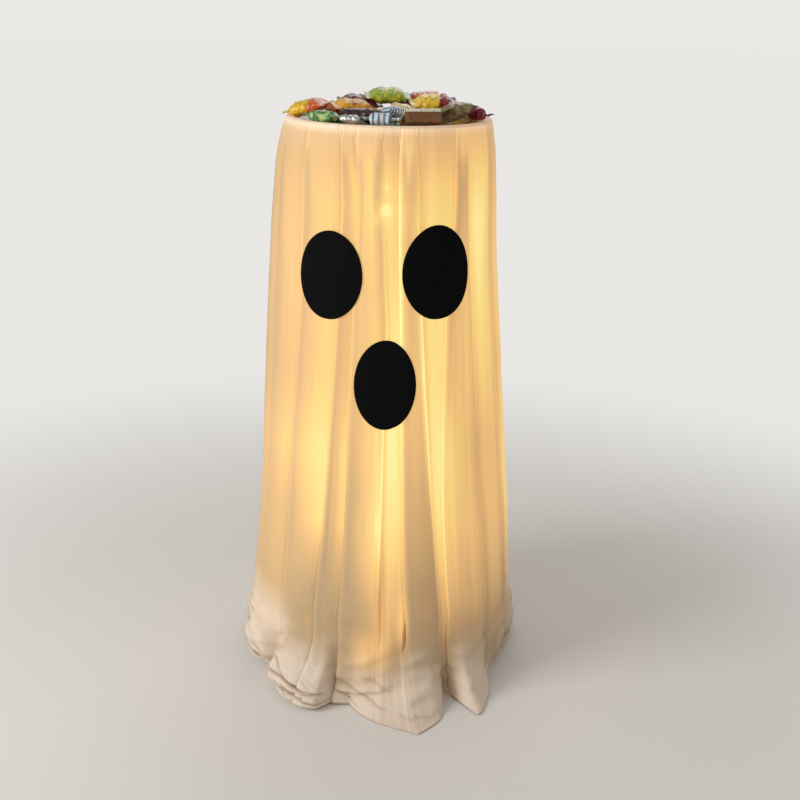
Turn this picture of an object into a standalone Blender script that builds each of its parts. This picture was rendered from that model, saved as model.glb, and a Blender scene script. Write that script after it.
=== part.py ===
"""Ghost candy bowl holder: a round white cloth hangs over a shallow bowl on a wire cage and is lit
from inside by a battery light string. Metres, +Z up, the face looks along -Y, and the origin is on
the floor under the middle of the cage."""

import math

import bmesh
import bpy
from mathutils import Euler, Matrix, Vector
from mathutils.bvhtree import BVHTree

# Clearances
TOUCH_GAP = 0.0003  # between two pieces that touch
MERGE_DISTANCE = 0.00001  # joins a turned body's points on its axis
CLOTH_GAP = 0.0008  # between the bowl and the cloth pressed into it
CUT_OVERRUN = 0.001  # how far a cutter passes the face that it opens

# Wire cage
CAGE_HEIGHT = 0.874
WIRE_DIAMETER = 0.004
TOP_RING_RADIUS = 0.1455  # to the wire's centre
FOOT_RADIUS = 0.1035  # of the circle that the feet stand on
MIDDLE_RING_HEIGHT = 0.479
LOWER_RING_HEIGHT = 0.150
LEG_SIDES = 12
RING_STEPS = 40
RING_SIDES = 8

# Bowl
BOWL_FLANGE_OVERLAP = 0.007  # of the flange past the top ring's centre
BOWL_FLANGE_THICKNESS = 0.002
BOWL_DEPTH = 0.046
BOWL_FLOOR_RADIUS = 0.090
BOWL_WALL = 0.0025
BOWL_RING_PLAY = 0.0008  # between the bowl's wall and the top ring
BOWL_STEPS = 64

# Cloth: each fold is a pocket between two panels, one of which laps over the other
CLOTH_THICKNESS = 0.0014
SHOULDER_DROP = 0.0413  # from the rim to where the folds open
SKIRT_FLARE = 0.061  # from the top ring's centre out to the skirt
HEM_SPREAD = 0.1615  # from the top ring's centre out to the hem's longest tip, at the front
FOLD_DEPTH = 0.078  # from a panel in to the pocket's bottom
POCKET_WIDTH = 0.008  # of the pocket's bottom
GATHER_WIDTH = 0.016  # of a fold's mouth at the shoulder and the hem
LAP_MOUTH = 0.003  # and between them
LAP_STEP = 0.003  # how far the panel behind lies under the one in front
LINING_STEPS = 44
# Folds from the left round the front to the back: the side of the panel in front, +1 its right and -1
# its left, the share of its depth that the pocket leans, and its edge's angle at the rows of the skirt
FOLDS = (
    (+1, 0.25, (-84, -85, -86, -86.5, -86.5, -86.5)),
    (+1, 0.20, (-66, -67, -68.5, -69.5, -69.5, -69.5)),
    (+1, 0.25, (-46.5, -44, -47, -48.5, -49.5, -50.5)),
    (+1, 0.30, (-24, -23, -26.5, -30, -30, -30)),
    (+1, 0.20, (-16.5, -15.5, -17, -18.5, -18.5, -18.5)),
    (-1, 0.20, (-3, 0.5, -0.5, -0.5, -0.5, -0.5)),
    (+1, 0.25, (5, 6.5, 8, 10, 10.5, 10.5)),
    (-1, 0.25, (14.5, 17, 22.5, 25.5, 25.5, 24)),
    (+1, 0.25, (35.5, 29.5, 27, 30, 31.5, 34)),
    (-1, 0.25, (44, 46.5, 49, 51.5, 52, 52)),
    (-1, 0.20, (65, 66, 67.5, 68.5, 68.5, 68.5)),
    (+1, 0.20, (82, 83, 84, 84.5, 84.5, 84.5)),
    (-1, 0.25, (100, 101, 102, 102.5, 102.5, 102.5)),
    (+1, 0.35, (117, 118, 119, 119.5, 119.5, 119.5)),
    (+1, 0.25, (137, 138, 139.5, 140.5, 140.5, 140.5)),
    (-1, 0.20, (161, 160, 159, 158.5, 158.5, 158.5)),
    (+1, 0.30, (181, 182, 183, 183.5, 183.5, 183.5)),
    (-1, 0.30, (207, 206, 205, 204.5, 204.5, 204.5)),
    (+1, 0.30, (227, 228, 229.5, 230.5, 230.5, 230.5)),
    (-1, 0.30, (253, 252, 251, 250.5, 250.5, 250.5)),
)
# Rows of the skirt: share of the shoulder's height, of the fold's depth and of its lap
SKIRT_ROW_SHARES = (
    (1.0, 0.10, 0.0),
    (0.742, 0.42, 1.0),
    (0.359, 0.92, 1.0),
    (0.134, 1.0, 1.0),
    (0.053, 0.60, 0.8),
    (0.0, 0.16, 0.0),
)
# The panels of the rows that hang: share of the shoulder's height, left and right shares of SKIRT_RADIUS
PANEL_SHARES = (
    (1.0, 0.811, 0.782),
    (0.742, 0.894, 0.846),
    (0.359, 0.964, 0.981),
    (0.134, 1.046, 1.046),
)
# The puddles of the last two rows: angle, shares of HEM_REACH at the bulge and at the hem
PUDDLE_SHARES = (
    (-180, 0.768, 0.940),
    (-155, 0.798, 0.743),
    (-130, 0.757, 0.811),
    (-98, 0.742, 0.725),
    (-80, 0.752, 0.715),
    (-56, 0.722, 0.687),
    (-51, 0.678, 0.661),
    (-46, 0.740, 0.780),
    (-33, 0.785, 0.893),
    (-26, 0.779, 0.896),
    (-12, 0.705, 0.730),
    (0, 0.730, 0.873),
    (11, 0.746, 0.988),
    (20, 0.739, 0.876),
    (25, 0.713, 0.759),
    (28, 0.679, 0.671),
    (32, 0.750, 0.938),
    (42, 0.743, 0.840),
    (50, 0.710, 0.739),
    (60, 0.695, 0.680),
    (87, 0.738, 0.700),
    (110, 0.765, 0.775),
    (135, 0.801, 0.756),
    (160, 0.756, 0.792),
    (180, 0.768, 0.940),
)

# Felt face: (name, angle round from the front, height of its middle, width, height)
FELT_THICKNESS = 0.0015
FELT_OVALS = (
    ("felt_eye_left", -27.2, 0.6685, 0.1005, 0.1275),
    ("felt_eye_right", 24.5, 0.675, 0.1055, 0.1355),
    ("felt_mouth", 0.0, 0.5133, 0.0900, 0.1330),
)
FELT_CELLS = 8

# Light string, wound round the legs from the back one: clockwise from above, one leg a crossing
STRING_WIRE_DIAMETER = 0.0012
STRING_SAG = 0.004
STRING_CROSSINGS = 19
STRING_START_RISE = 0.074  # from the lower ring to the first crossing
STRING_TOP_DROP = 0.110  # from the cage's top to the last crossing
STRING_RING_SHARE = 8.5 / 18  # share of the crossings that lies under the middle ring
LAMP_DIAMETER = 0.0042
LAMP_LENGTH = 0.008
LAMP_SHARES = (0.36, 0.86)  # places of the two lamps along a run from leg to leg
TAIL_RISE = 0.036
TAIL_REACH = 0.013
TAIL_BEND_SHARES = ((0.35, 0.8), (0.5, 0.35))  # shares of the tail's rise and reach where it turns back
TAIL_HELD_SHARES = (0.62, 0.8)  # shares of its rise between which it lies along the leg
TAIL_TIP_SHARE = 1.15
LEAD_X = -0.010  # where the lead leaves the battery case
LEAD_BOW = 0.0046  # from the leg's centre to the lead, halfway to the lower ring

# Battery case: upright, its back to the back leg
CELL_DIAMETER = 0.0142
CELL_LENGTH = 0.0505  # with its nub
CELL_NUB_DIAMETER = 0.0055
CELL_NUB_LENGTH = 0.0013
CELL_PLAY = 0.0006
CELL_COUNT = 3
CELL_STEPS = 20
SPRING_LENGTH = 0.0038
SPRING_DIAMETER = 0.0074
SPRING_WIRE_DIAMETER = 0.0006
SPRING_TURNS = 3
SPRING_TURN_STEPS = 10
STRIP_THICKNESS = 0.0005
STRIP_WIDTH = 0.009
CASE_BOTTOM = 0.020
CASE_BACK_Y = 0.1018
CASE_SIDE_WALL = 0.0026
CASE_WALL = 0.0018
RAIL_DEPTH = 0.0012
RAIL_HEIGHT = 0.0016
RAIL_LAND = 0.0022  # from the groove to the case's front face
COVER_WALL = 0.0014
COVER_PLAY = 0.0004
SWITCH_X = 0.012
SWITCH_BAY_LENGTH = 0.0056
SWITCH_BAY_WIDTH = 0.020
SWITCH_TRAVEL = 0.004
KNOB_WIDTH = 0.004
KNOB_DEPTH = 0.003
KNOB_RISE = 0.002
SLIDER_WIDTH = 0.012
SLIDER_DEPTH = 0.006
SWITCH_BOARD_THICKNESS = 0.0016
TAB_WIDTH = 0.020
TAB_HEIGHT = 0.008
TAB_THICKNESS = 0.002
TAB_SLOT_WIDTH = 0.003
TAB_SLOT_HEIGHT = 0.0046
TAB_SLOT_X = 0.006

# Cable ties
TIE_WIDTH = 0.0036
TIE_THICKNESS = 0.0011
TIE_HEAD = 0.0046
TIE_POINTS = 12

# Candy: (length, width, thickness) of each kind
CANDY_SIZES = {
    "pack": (0.070, 0.050, 0.025),
    "bar": (0.086, 0.036, 0.023),
    "twist": (0.058, 0.023, 0.020),
    "square": (0.040, 0.040, 0.017),
    "mini": (0.032, 0.028, 0.015),
    "carton": (0.052, 0.040, 0.020),
}
# A candy's stations from one end to its middle: share of the length, then of the width and thickness
CANDY_STATION_SHARES = {
    "pack": ((0.5, 1.0, 0.06), (0.42, 0.96, 0.10), (0.24, 1.0, 1.0)),
    "bar": ((0.5, 1.0, 0.06), (0.43, 0.94, 0.10), (0.36, 1.0, 1.0)),
    "twist": ((0.5, 1.1, 0.30), (0.32, 0.34, 0.40), (0.24, 0.9, 1.0)),
    "square": ((0.5, 1.0, 0.20), (0.40, 1.0, 1.0)),
    "mini": ((0.5, 1.0, 0.16), (0.32, 1.0, 1.0)),
}
CANDY_DROP_HEIGHT = 0.080  # above the rim, where each candy starts on its way down
CANDY_DROP_STEP = 0.0006
CARTON_EDGE = 0.0012

WHITE_CLOTH = (0.86, 0.82, 0.76)
GALVANISED = (0.55, 0.56, 0.57)
BLACK_FELT = (0.012, 0.012, 0.013)
# Candy in the order in which it is laid: (kind, share of the flange's radius to the right and to the
# back, degrees of turn, pitch and roll, colour)
CANDY_PLACE_SHARES = (
    ("bar", 0.00, 0.34, 8, 0, 0, (0.25, 0.09, 0.03)),
    ("bar", 0.02, 0.06, -5, 0, 0, (0.55, 0.06, 0.03)),
    ("pack", -0.46, 0.14, 84, 0, 0, (0.80, 0.45, 0.03)),
    ("pack", 0.46, 0.14, 95, 0, 0, (0.10, 0.28, 0.06)),
    ("bar", 0.06, -0.30, 3, 0, 0, (0.12, 0.20, 0.45)),
    ("pack", 0.02, 0.66, 0, 0, 12, (0.70, 0.10, 0.04)),
    ("square", -0.46, 0.58, 30, 0, 10, (0.75, 0.60, 0.20)),
    ("square", 0.48, 0.56, -35, 0, 10, (0.30, 0.32, 0.33)),
    ("pack", -0.57, -0.54, -44, 0, -22, (0.42, 0.58, 0.36)),
    ("carton", 0.29, -0.74, 12, 0, -26, (0.62, 0.40, 0.12)),
    ("pack", 0.60, -0.48, 50, 0, -24, (0.42, 0.46, 0.34)),
    ("pack", 0.74, 0.04, 84, 0, -30, (0.72, 0.50, 0.18)),
    ("mini", -0.34, -0.80, -30, 0, -30, (0.50, 0.51, 0.50)),
    ("twist", -0.08, -0.84, -6, 0, -16, (0.42, 0.48, 0.58)),
    ("twist", 0.90, -0.26, -58, 0, 0, (0.46, 0.02, 0.09)),
    ("bar", -0.24, -0.46, -6, 0, -8, (0.10, 0.04, 0.02)),
    ("mini", 0.05, -0.62, 30, 10, -10, (0.62, 0.62, 0.60)),
    ("twist", -0.50, -0.22, 10, 0, 6, (0.60, 0.20, 0.03)),
    ("square", 0.17, -0.42, 40, 12, 8, (0.62, 0.50, 0.32)),
    ("pack", 0.60, 0.16, 30, -6, 4, (0.52, 0.53, 0.52)),
    ("bar", -0.42, 0.42, 40, 2, 4, (0.60, 0.32, 0.06)),
    ("pack", -0.80, -0.04, -16, -12, 4, (0.86, 0.48, 0.03)),
    ("bar", 0.06, -0.14, -6, 2, 8, (0.08, 0.34, 0.06)),
    ("pack", -0.34, -0.12, 16, 6, 8, (0.88, 0.50, 0.04)),
    ("pack", -0.30, 0.26, 5, 4, 8, (0.24, 0.03, 0.04)),
    ("pack", 0.42, -0.30, 6, -4, 8, (0.84, 0.44, 0.03)),
    ("pack", 0.34, 0.30, -8, -4, 8, (0.60, 0.06, 0.03)),
    ("pack", -0.02, 0.24, 6, 0, 8, (0.48, 0.62, 0.12)),
)

# Worked out from the sizes above
WIRE_RADIUS = WIRE_DIAMETER / 2
RING_TOP_HEIGHT = CAGE_HEIGHT - WIRE_RADIUS
SEAT_HEIGHT = CAGE_HEIGHT + TOUCH_GAP
RIM_HEIGHT = SEAT_HEIGHT + BOWL_FLANGE_THICKNESS
BOWL_BOTTOM = SEAT_HEIGHT - BOWL_DEPTH
SHOULDER_HEIGHT = RIM_HEIGHT - SHOULDER_DROP
BOWL_FLANGE_RADIUS = TOP_RING_RADIUS + BOWL_FLANGE_OVERLAP
CLOTH_OFFSET = CLOTH_GAP + CLOTH_THICKNESS / 2
HEM_HEIGHT = CLOTH_THICKNESS
SKIRT_RADIUS = TOP_RING_RADIUS + SKIRT_FLARE
HEM_REACH = TOP_RING_RADIUS + HEM_SPREAD
LEG_DIRECTIONS = {"leg_back": 90, "leg_right": 0, "leg_front": -90, "leg_left": 180}
STRING_SIDE = WIRE_RADIUS + TOUCH_GAP + STRING_WIRE_DIAMETER / 2  # from a leg's centre to the string's
CELL_PITCH = CELL_DIAMETER + CELL_PLAY
BAY_WIDTH = CELL_COUNT * CELL_PITCH
BAY_LENGTH = CELL_LENGTH + SPRING_LENGTH + 2 * STRIP_THICKNESS + 5 * TOUCH_GAP
CASE_WIDTH = BAY_WIDTH + 2 * CASE_SIDE_WALL
CASE_DEPTH = CASE_WALL + CELL_DIAMETER + 2 * CELL_PLAY
BAY_BOTTOM = CASE_BOTTOM + CASE_WALL
BAY_TOP = BAY_BOTTOM + BAY_LENGTH
SWITCH_BAY_BOTTOM = BAY_TOP + CASE_WALL
SWITCH_BAY_TOP = SWITCH_BAY_BOTTOM + SWITCH_BAY_LENGTH
CASE_TOP = SWITCH_BAY_TOP + CASE_WALL
CASE_FRONT_Y = CASE_BACK_Y - CASE_DEPTH
CELL_Y = CASE_BACK_Y - CASE_WALL - CELL_PLAY - CELL_DIAMETER / 2


def clear_scene():
    for leftover in list(bpy.data.objects):
        bpy.data.objects.remove(leftover, do_unlink=True)


def new_collection(name):
    group = bpy.data.collections.new(name)
    bpy.context.scene.collection.children.link(group)
    return group


def finish(name, colour, roughness, metallic=0.0):
    """A Principled material of one colour."""
    material = bpy.data.materials.new(name)
    material.use_nodes = True
    shader = material.node_tree.nodes["Principled BSDF"]
    shader.inputs["Base Color"].default_value = (*colour, 1)
    shader.inputs["Roughness"].default_value = roughness
    shader.inputs["Metallic"].default_value = metallic
    material.diffuse_color = (*colour, 1)
    return material


def add_object(name, data, material, group=None):
    """Links an object to a group: the pieces' unless another is given."""
    piece = bpy.data.objects.new(name, data)
    (group or PARTS).objects.link(piece)
    if material:
        data.materials.append(material)
    return piece


def add_mesh(name, shape, material, group=None, smooth=True):
    """Turns a bmesh into an object."""
    bmesh.ops.recalc_face_normals(shape, faces=shape.faces)
    mesh = bpy.data.meshes.new(name)
    shape.to_mesh(mesh)
    shape.free()
    if smooth:
        mesh.shade_smooth()
        mesh.set_sharp_from_angle(angle=math.radians(35))
    return add_object(name, mesh, material, group)


def block(name, low, high, material, group=None):
    """A box between two corners, with its origin at its middle."""
    shape = bmesh.new()
    bmesh.ops.create_cube(shape, size=1.0)
    bmesh.ops.scale(shape, vec=Vector(high) - Vector(low), verts=shape.verts)
    piece = add_mesh(name, shape, material, group, smooth=False)
    piece.location = (Vector(low) + Vector(high)) / 2
    return piece


def use_cutter(piece, cutter, operation="DIFFERENCE"):
    """Cuts a helper object from the piece, or joins it on."""
    cutter.hide_render = True
    cutter.display_type = "WIRE"
    boolean = piece.modifiers.new(f"{operation.title()} {cutter.name}", "BOOLEAN")
    boolean.object = cutter
    boolean.operation = operation


def cut_box(piece, low, high):
    use_cutter(piece, block(f"cut_{piece.name}", low, high, None, CUTTERS))


def join_box(piece, low, high):
    use_cutter(piece, block(f"join_{piece.name}", low, high, None, CUTTERS), "UNION")


def turned(name, profile, steps, material):
    """A body turned about Z from (radius, height) points that run down its outer side."""
    mesh = bpy.data.meshes.new(name)
    edges = [(i, i + 1) for i in range(len(profile) - 1)]
    mesh.from_pydata([(radius, 0, height) for radius, height in profile], edges, [])
    piece = add_object(name, mesh, material)
    screw = piece.modifiers.new("Turn", "SCREW")
    screw.steps = steps
    screw.render_steps = steps
    screw.use_merge_vertices = True
    screw.merge_threshold = MERGE_DISTANCE
    screw.use_smooth_shade = True
    return piece


def tube(name, points, diameter, material, resolution, swell=None):
    """A round tube through the points; swell gives each point's share of the diameter."""
    curve = bpy.data.curves.new(name, "CURVE")
    curve.dimensions = "3D"
    curve.bevel_depth = diameter / 2
    curve.bevel_resolution = resolution
    curve.use_fill_caps = True
    spline = curve.splines.new("POLY")
    spline.points.add(len(points) - 1)
    for index, point in enumerate(points):
        spline.points[index].co = (*point, 1)
        spline.points[index].radius = swell[index] if swell else 1
    return add_object(name, curve, material)


def band(name, path, low, material):
    """A cable tie: a flat band along a closed plan path, standing from the height low."""
    shape = bmesh.new()
    feet = [shape.verts.new((x, y, low)) for x, y in path]
    edges = [shape.edges.new((a, b)) for a, b in zip(feet, feet[1:] + feet[:1])]
    grown = bmesh.ops.extrude_edge_only(shape, edges=edges)["geom"]
    risen = [item for item in grown if isinstance(item, bmesh.types.BMVert)]
    bmesh.ops.translate(shape, vec=(0, 0, TIE_WIDTH), verts=risen)
    piece = add_mesh(name, shape, material, smooth=False)
    wall = piece.modifiers.new("Thickness", "SOLIDIFY")
    wall.thickness = TIE_THICKNESS
    wall.offset = 0
    wall.use_even_offset = True
    return piece


def offset_corner(before, corner, after, distance):
    """The corner of a line that runs the distance to the left of before, corner, after."""
    first = (corner - before).normalized()
    second = (after - corner).normalized()
    left = Vector((-first.y, first.x))
    right = Vector((-second.y, second.x))
    return corner + (left + right) * distance / (1 + left.dot(right))


def leg_radius(height):
    """Distance of a leg's centre from the axis."""
    top = TOP_RING_RADIUS + WIRE_DIAMETER + TOUCH_GAP
    return FOOT_RADIUS + (top - FOOT_RADIUS) * height / RING_TOP_HEIGHT


def polar(angle, radius, height):
    """A point at an angle in degrees from +X."""
    turn = math.radians(angle)
    return Vector((radius * math.cos(turn), radius * math.sin(turn), height))


def from_front(angle, radius, height):
    """A point at an angle in degrees from the front, growing to the right."""
    return polar(angle - 90, radius, height)


def add_cage():
    steel = finish("galvanised wire", GALVANISED, 0.42, 0.9)
    rings = (
        ("ring_top", RING_TOP_HEIGHT),
        ("ring_middle", MIDDLE_RING_HEIGHT),
        ("ring_lower", LOWER_RING_HEIGHT),
    )
    for name, height in rings:
        bpy.ops.mesh.primitive_torus_add(
            major_segments=RING_STEPS,
            minor_segments=RING_SIDES,
            major_radius=leg_radius(height) - WIRE_DIAMETER - TOUCH_GAP,
            minor_radius=WIRE_RADIUS,
            location=(0, 0, height),
        )
        ring = bpy.context.object
        ring.name = name
        ring.data.shade_smooth()
        ring.data.materials.append(steel)
        bpy.context.collection.objects.unlink(ring)
        PARTS.objects.link(ring)
    for name, direction in LEG_DIRECTIONS.items():
        shape = bmesh.new()
        bmesh.ops.create_cone(
            shape,
            cap_ends=True,
            segments=LEG_SIDES,
            radius1=WIRE_RADIUS,
            radius2=WIRE_RADIUS,
            depth=CAGE_HEIGHT,
        )
        for vertex in shape.verts:
            vertex.co += polar(direction, leg_radius(vertex.co.z + CAGE_HEIGHT / 2), CAGE_HEIGHT / 2)
        add_mesh(name, shape, steel)


def bowl_outer_wall():
    """The outside of the bowl from its axis to the flange's underside, as (radius, height)."""
    wall_radius = TOP_RING_RADIUS - WIRE_RADIUS - BOWL_RING_PLAY
    return [
        Vector((0, BOWL_BOTTOM)),
        Vector((BOWL_FLOOR_RADIUS, BOWL_BOTTOM)),
        Vector((wall_radius, SEAT_HEIGHT)),
    ]


def bowl_inner_line():
    """The inside of the bowl from its axis over the flange to its lower edge, as (radius, height)."""
    axis, floor_edge, seat = bowl_outer_wall()
    inner_edge = offset_corner(axis, floor_edge, seat, BOWL_WALL)
    slope = (seat - floor_edge).normalized()
    inner_top = inner_edge + slope * (RIM_HEIGHT - inner_edge.y) / slope.y
    return [
        Vector((0, inner_edge.y)),
        inner_edge,
        inner_top,
        Vector((BOWL_FLANGE_RADIUS, RIM_HEIGHT)),
        Vector((BOWL_FLANGE_RADIUS, SEAT_HEIGHT)),
    ]


def add_bowl():
    profile = bowl_inner_line() + bowl_outer_wall()[::-1]
    turned("bowl", profile, BOWL_STEPS, finish("bowl plastic", (0.80, 0.78, 0.74), 0.4))


def blended(table, place):
    """The values of the table's rows on both sides of a place, blended."""
    for (start, *before), (end, *after) in zip(table, table[1:]):
        share = (place - start) / (end - start)
        if share <= 1:
            return [low + (high - low) * share for low, high in zip(before, after)]


def height_share(height):
    return (height - HEM_HEIGHT) / (SHOULDER_HEIGHT - HEM_HEIGHT)


def panel_radius(angle, height):
    """Radius of the panels: the left and the right outline, blended round the cloth."""
    left, right = blended(PANEL_SHARES, height_share(height))
    return SKIRT_RADIUS * (left + right + (right - left) * math.sin(math.radians(angle))) / 2


def puddle_radius(angle, at_hem):
    bulge, hem = blended(PUDDLE_SHARES, (angle + 180) % 360 - 180)
    return HEM_REACH * (hem if at_hem else bulge)


def fold_points(row_index):
    """The folds of a row, four points each: (angle, distance inside the panels)."""
    _, depth_share, lap_share = SKIRT_ROW_SHARES[row_index]
    edges = [angles[row_index] for _, _, angles in FOLDS]
    widths = [end - start for start, end in zip(edges, edges[1:] + [edges[0] + 360])]
    mouth = GATHER_WIDTH + (LAP_MOUTH - GATHER_WIDTH) * lap_share
    points = []
    for index, (side, lean_share, _) in enumerate(FOLDS):
        room = (widths[index] + widths[index - 1]) / (2 * max(widths))
        depth = FOLD_DEPTH * depth_share * math.sqrt(room)
        lean = depth * lean_share * lap_share
        pocket = [
            (-mouth / 2, LAP_STEP * lap_share),
            (lean - POCKET_WIDTH / 2, depth),
            (lean + POCKET_WIDTH / 2, depth),
            (mouth / 2, 0),
        ]
        for across, inward in pocket[::side]:
            points.append((edges[index] + math.degrees(side * across / SKIRT_RADIUS), inward))
    return points


def lining_rows():
    """The cloth's middle surface from the bowl's floor over the rim, as (angle, point) rows."""
    line = bowl_inner_line()
    start = FOLDS[0][2][0]
    angles = [start + 360 * step / LINING_STEPS for step in range(LINING_STEPS)]
    rows = []
    for before, corner, after in zip(line, line[1:], line[2:]):
        edge = offset_corner(before, corner, after, CLOTH_OFFSET)
        rows.append([(angle, from_front(angle, *edge)) for angle in angles])
    return rows


def skirt_rows():
    """The cloth's middle surface from the shoulder to the hem, as (angle, point) rows."""
    rows = []
    for index, (share, _, _) in enumerate(SKIRT_ROW_SHARES):
        height = HEM_HEIGHT + (SHOULDER_HEIGHT - HEM_HEIGHT) * share
        row = []
        for angle, inward in fold_points(index):
            if share < PANEL_SHARES[-1][0]:
                radius = puddle_radius(angle, share == 0)
            else:
                radius = panel_radius(angle, height)
            row.append((angle, from_front(angle, radius - inward, height)))
        rows.append(row)
    return rows


def join_rows(shape, upper, lower):
    """Triangles between two closed rows of (angle, vertex), in the order of their angles."""
    ends = [row + [(row[0][0] + 360, row[0][1])] for row in (upper, lower)]
    i = j = 0
    while i < len(upper) or j < len(lower):
        (_, above), (_, below) = ends[0][i], ends[1][j]
        if j == len(lower) or (i < len(upper) and ends[0][i + 1][0] <= ends[1][j + 1][0]):
            i += 1
            shape.faces.new((above, below, ends[0][i][1]))
        else:
            j += 1
            shape.faces.new((above, below, ends[1][j][1]))


def add_sheet():
    """Lofts the rows from a middle point, so that both faces of the cloth split alike."""
    shape = bmesh.new()
    lining, skirt = (
        [[(angle, shape.verts.new(point)) for angle, point in row] for row in rows]
        for rows in (lining_rows(), skirt_rows())
    )
    middle = shape.verts.new((0, 0, lining[0][0][1].co.z))
    for i in range(LINING_STEPS):
        shape.faces.new((middle, lining[0][i][1], lining[0][(i + 1) % LINING_STEPS][1]))
    join_rows(shape, lining[-1], skirt[0])
    for rows in (lining, skirt):
        for upper, lower in zip(rows, rows[1:]):
            for i in range(len(upper)):
                j = (i + 1) % len(upper)
                shape.faces.new((upper[i][1], lower[i][1], lower[j][1]))
                shape.faces.new((upper[i][1], lower[j][1], upper[j][1]))
    sheet = add_mesh("ghost_sheet", shape, finish("white cloth", WHITE_CLOTH, 0.85))
    cloth = sheet.modifiers.new("Cloth", "SOLIDIFY")
    cloth.thickness = CLOTH_THICKNESS
    cloth.offset = 0
    cloth.use_quality_normals = True


def add_felt(name, angle, height, width, tall):
    """A felt oval bent round the panels: a square grid pressed to a disc, then laid on them."""
    shape = bmesh.new()
    bmesh.ops.create_grid(shape, x_segments=FELT_CELLS, y_segments=FELT_CELLS, size=1.0)
    lift = CLOTH_THICKNESS / 2 + TOUCH_GAP + FELT_THICKNESS / 2
    for vertex in shape.verts:
        u, v = vertex.co.x, vertex.co.y
        across = u * math.sqrt(1 - v * v / 2) * width / 2
        up = height + v * math.sqrt(1 - u * u / 2) * tall / 2
        place = angle + math.degrees(across / panel_radius(angle, height))
        vertex.co = from_front(place, panel_radius(place, up) + lift, up)
    felt = add_mesh(name, shape, BLACK)
    thickness = felt.modifiers.new("Felt", "SOLIDIFY")
    thickness.thickness = FELT_THICKNESS
    thickness.offset = 0


def crossing_height(index):
    """Height at which the string passes a leg, at even steps on each side of the middle ring."""
    first = LOWER_RING_HEIGHT + STRING_START_RISE
    last = CAGE_HEIGHT - STRING_TOP_DROP
    place = index / (STRING_CROSSINGS - 1)
    if place < STRING_RING_SHARE:
        return first + (MIDDLE_RING_HEIGHT - first) * place / STRING_RING_SHARE
    share = (place - STRING_RING_SHARE) / (1 - STRING_RING_SHARE)
    return MIDDLE_RING_HEIGHT + (last - MIDDLE_RING_HEIGHT) * share


def beside_leg(direction, height, turn, distance):
    """A point the distance from a leg's centre, turned clockwise from the leg's outer side."""
    return polar(direction, leg_radius(height), height) + polar(direction - turn, distance, 0)


def add_lamp(route, swell, centre, along):
    """Four points that swell the string to one lamp."""
    full = LAMP_DIAMETER / STRING_WIRE_DIAMETER
    for step, size in ((-0.5, 1), (-0.25, full), (0.25, full), (0.5, 1)):
        route.append(centre + along * LAMP_LENGTH * step)
        swell.append(size)


def string_route():
    """The string's points from the battery case to its end, and each point's swell."""
    corner = STRING_SIDE / math.cos(math.radians(22.5))
    back, first = LEG_DIRECTIONS["leg_back"], crossing_height(0)
    case_y = CASE_BACK_Y - CASE_DEPTH / 2
    route = [
        Vector((LEAD_X, case_y, CASE_TOP + TOUCH_GAP)),
        Vector((LEAD_X, case_y, CASE_TOP + TAB_HEIGHT)),
        beside_leg(back, (CASE_TOP + LOWER_RING_HEIGHT) / 2, -90, LEAD_BOW),
        beside_leg(back, LOWER_RING_HEIGHT, -90, STRING_SIDE),
        beside_leg(back, first - 2 * LAMP_LENGTH, -90, STRING_SIDE),
        beside_leg(back, first - LAMP_LENGTH / 2, -90, corner),
    ]
    swell = [1] * len(route)
    for index in range(STRING_CROSSINGS):
        direction = back - 90 * index
        height = crossing_height(index)
        if index:
            start, end = route[-1], beside_leg(direction, height, -45, corner)
            for place in LAMP_SHARES:
                centre = start.lerp(end, place) - Vector((0, 0, STRING_SAG * 4 * place * (1 - place)))
                add_lamp(route, swell, centre, (end - start).normalized())
        for turn in (-45, 0, 45):
            route.append(beside_leg(direction, height, turn, corner))
            swell.append(1)
    side = beside_leg(direction, height, 90, TAIL_REACH)
    add_lamp(route, swell, side, (side - route[-1]).normalized())
    for rise, reach in TAIL_BEND_SHARES:
        route.append(beside_leg(direction, height + TAIL_RISE * rise, 90, TAIL_REACH * reach))
        swell.append(1)
    for rise in TAIL_HELD_SHARES:
        route.append(beside_leg(direction, height + TAIL_RISE * rise, 90, STRING_SIDE))
        swell.append(1)
    tip = beside_leg(direction, height + TAIL_RISE * TAIL_TIP_SHARE, 90, TAIL_REACH / 2)
    add_lamp(route, swell, tip, (tip - route[-1]).normalized())
    return route, swell


def least_self_gap(route, swell):
    """The least clear distance between stretches of the string that aren't neighbours."""
    least = math.inf
    for i, point in enumerate(route):
        for j in range(i + 8, len(route)):
            reach = STRING_WIRE_DIAMETER / 2 * (swell[i] + swell[j])
            least = min(least, (point - route[j]).length - reach)
    return least


def add_string():
    route, swell = string_route()
    copper = finish("string wire", (0.70, 0.62, 0.45), 0.45)
    tube("light_string", route, STRING_WIRE_DIAMETER, copper, 1, swell)
    print("light_string: least gap to itself", round(1000 * least_self_gap(route, swell), 2), "mm")


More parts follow.
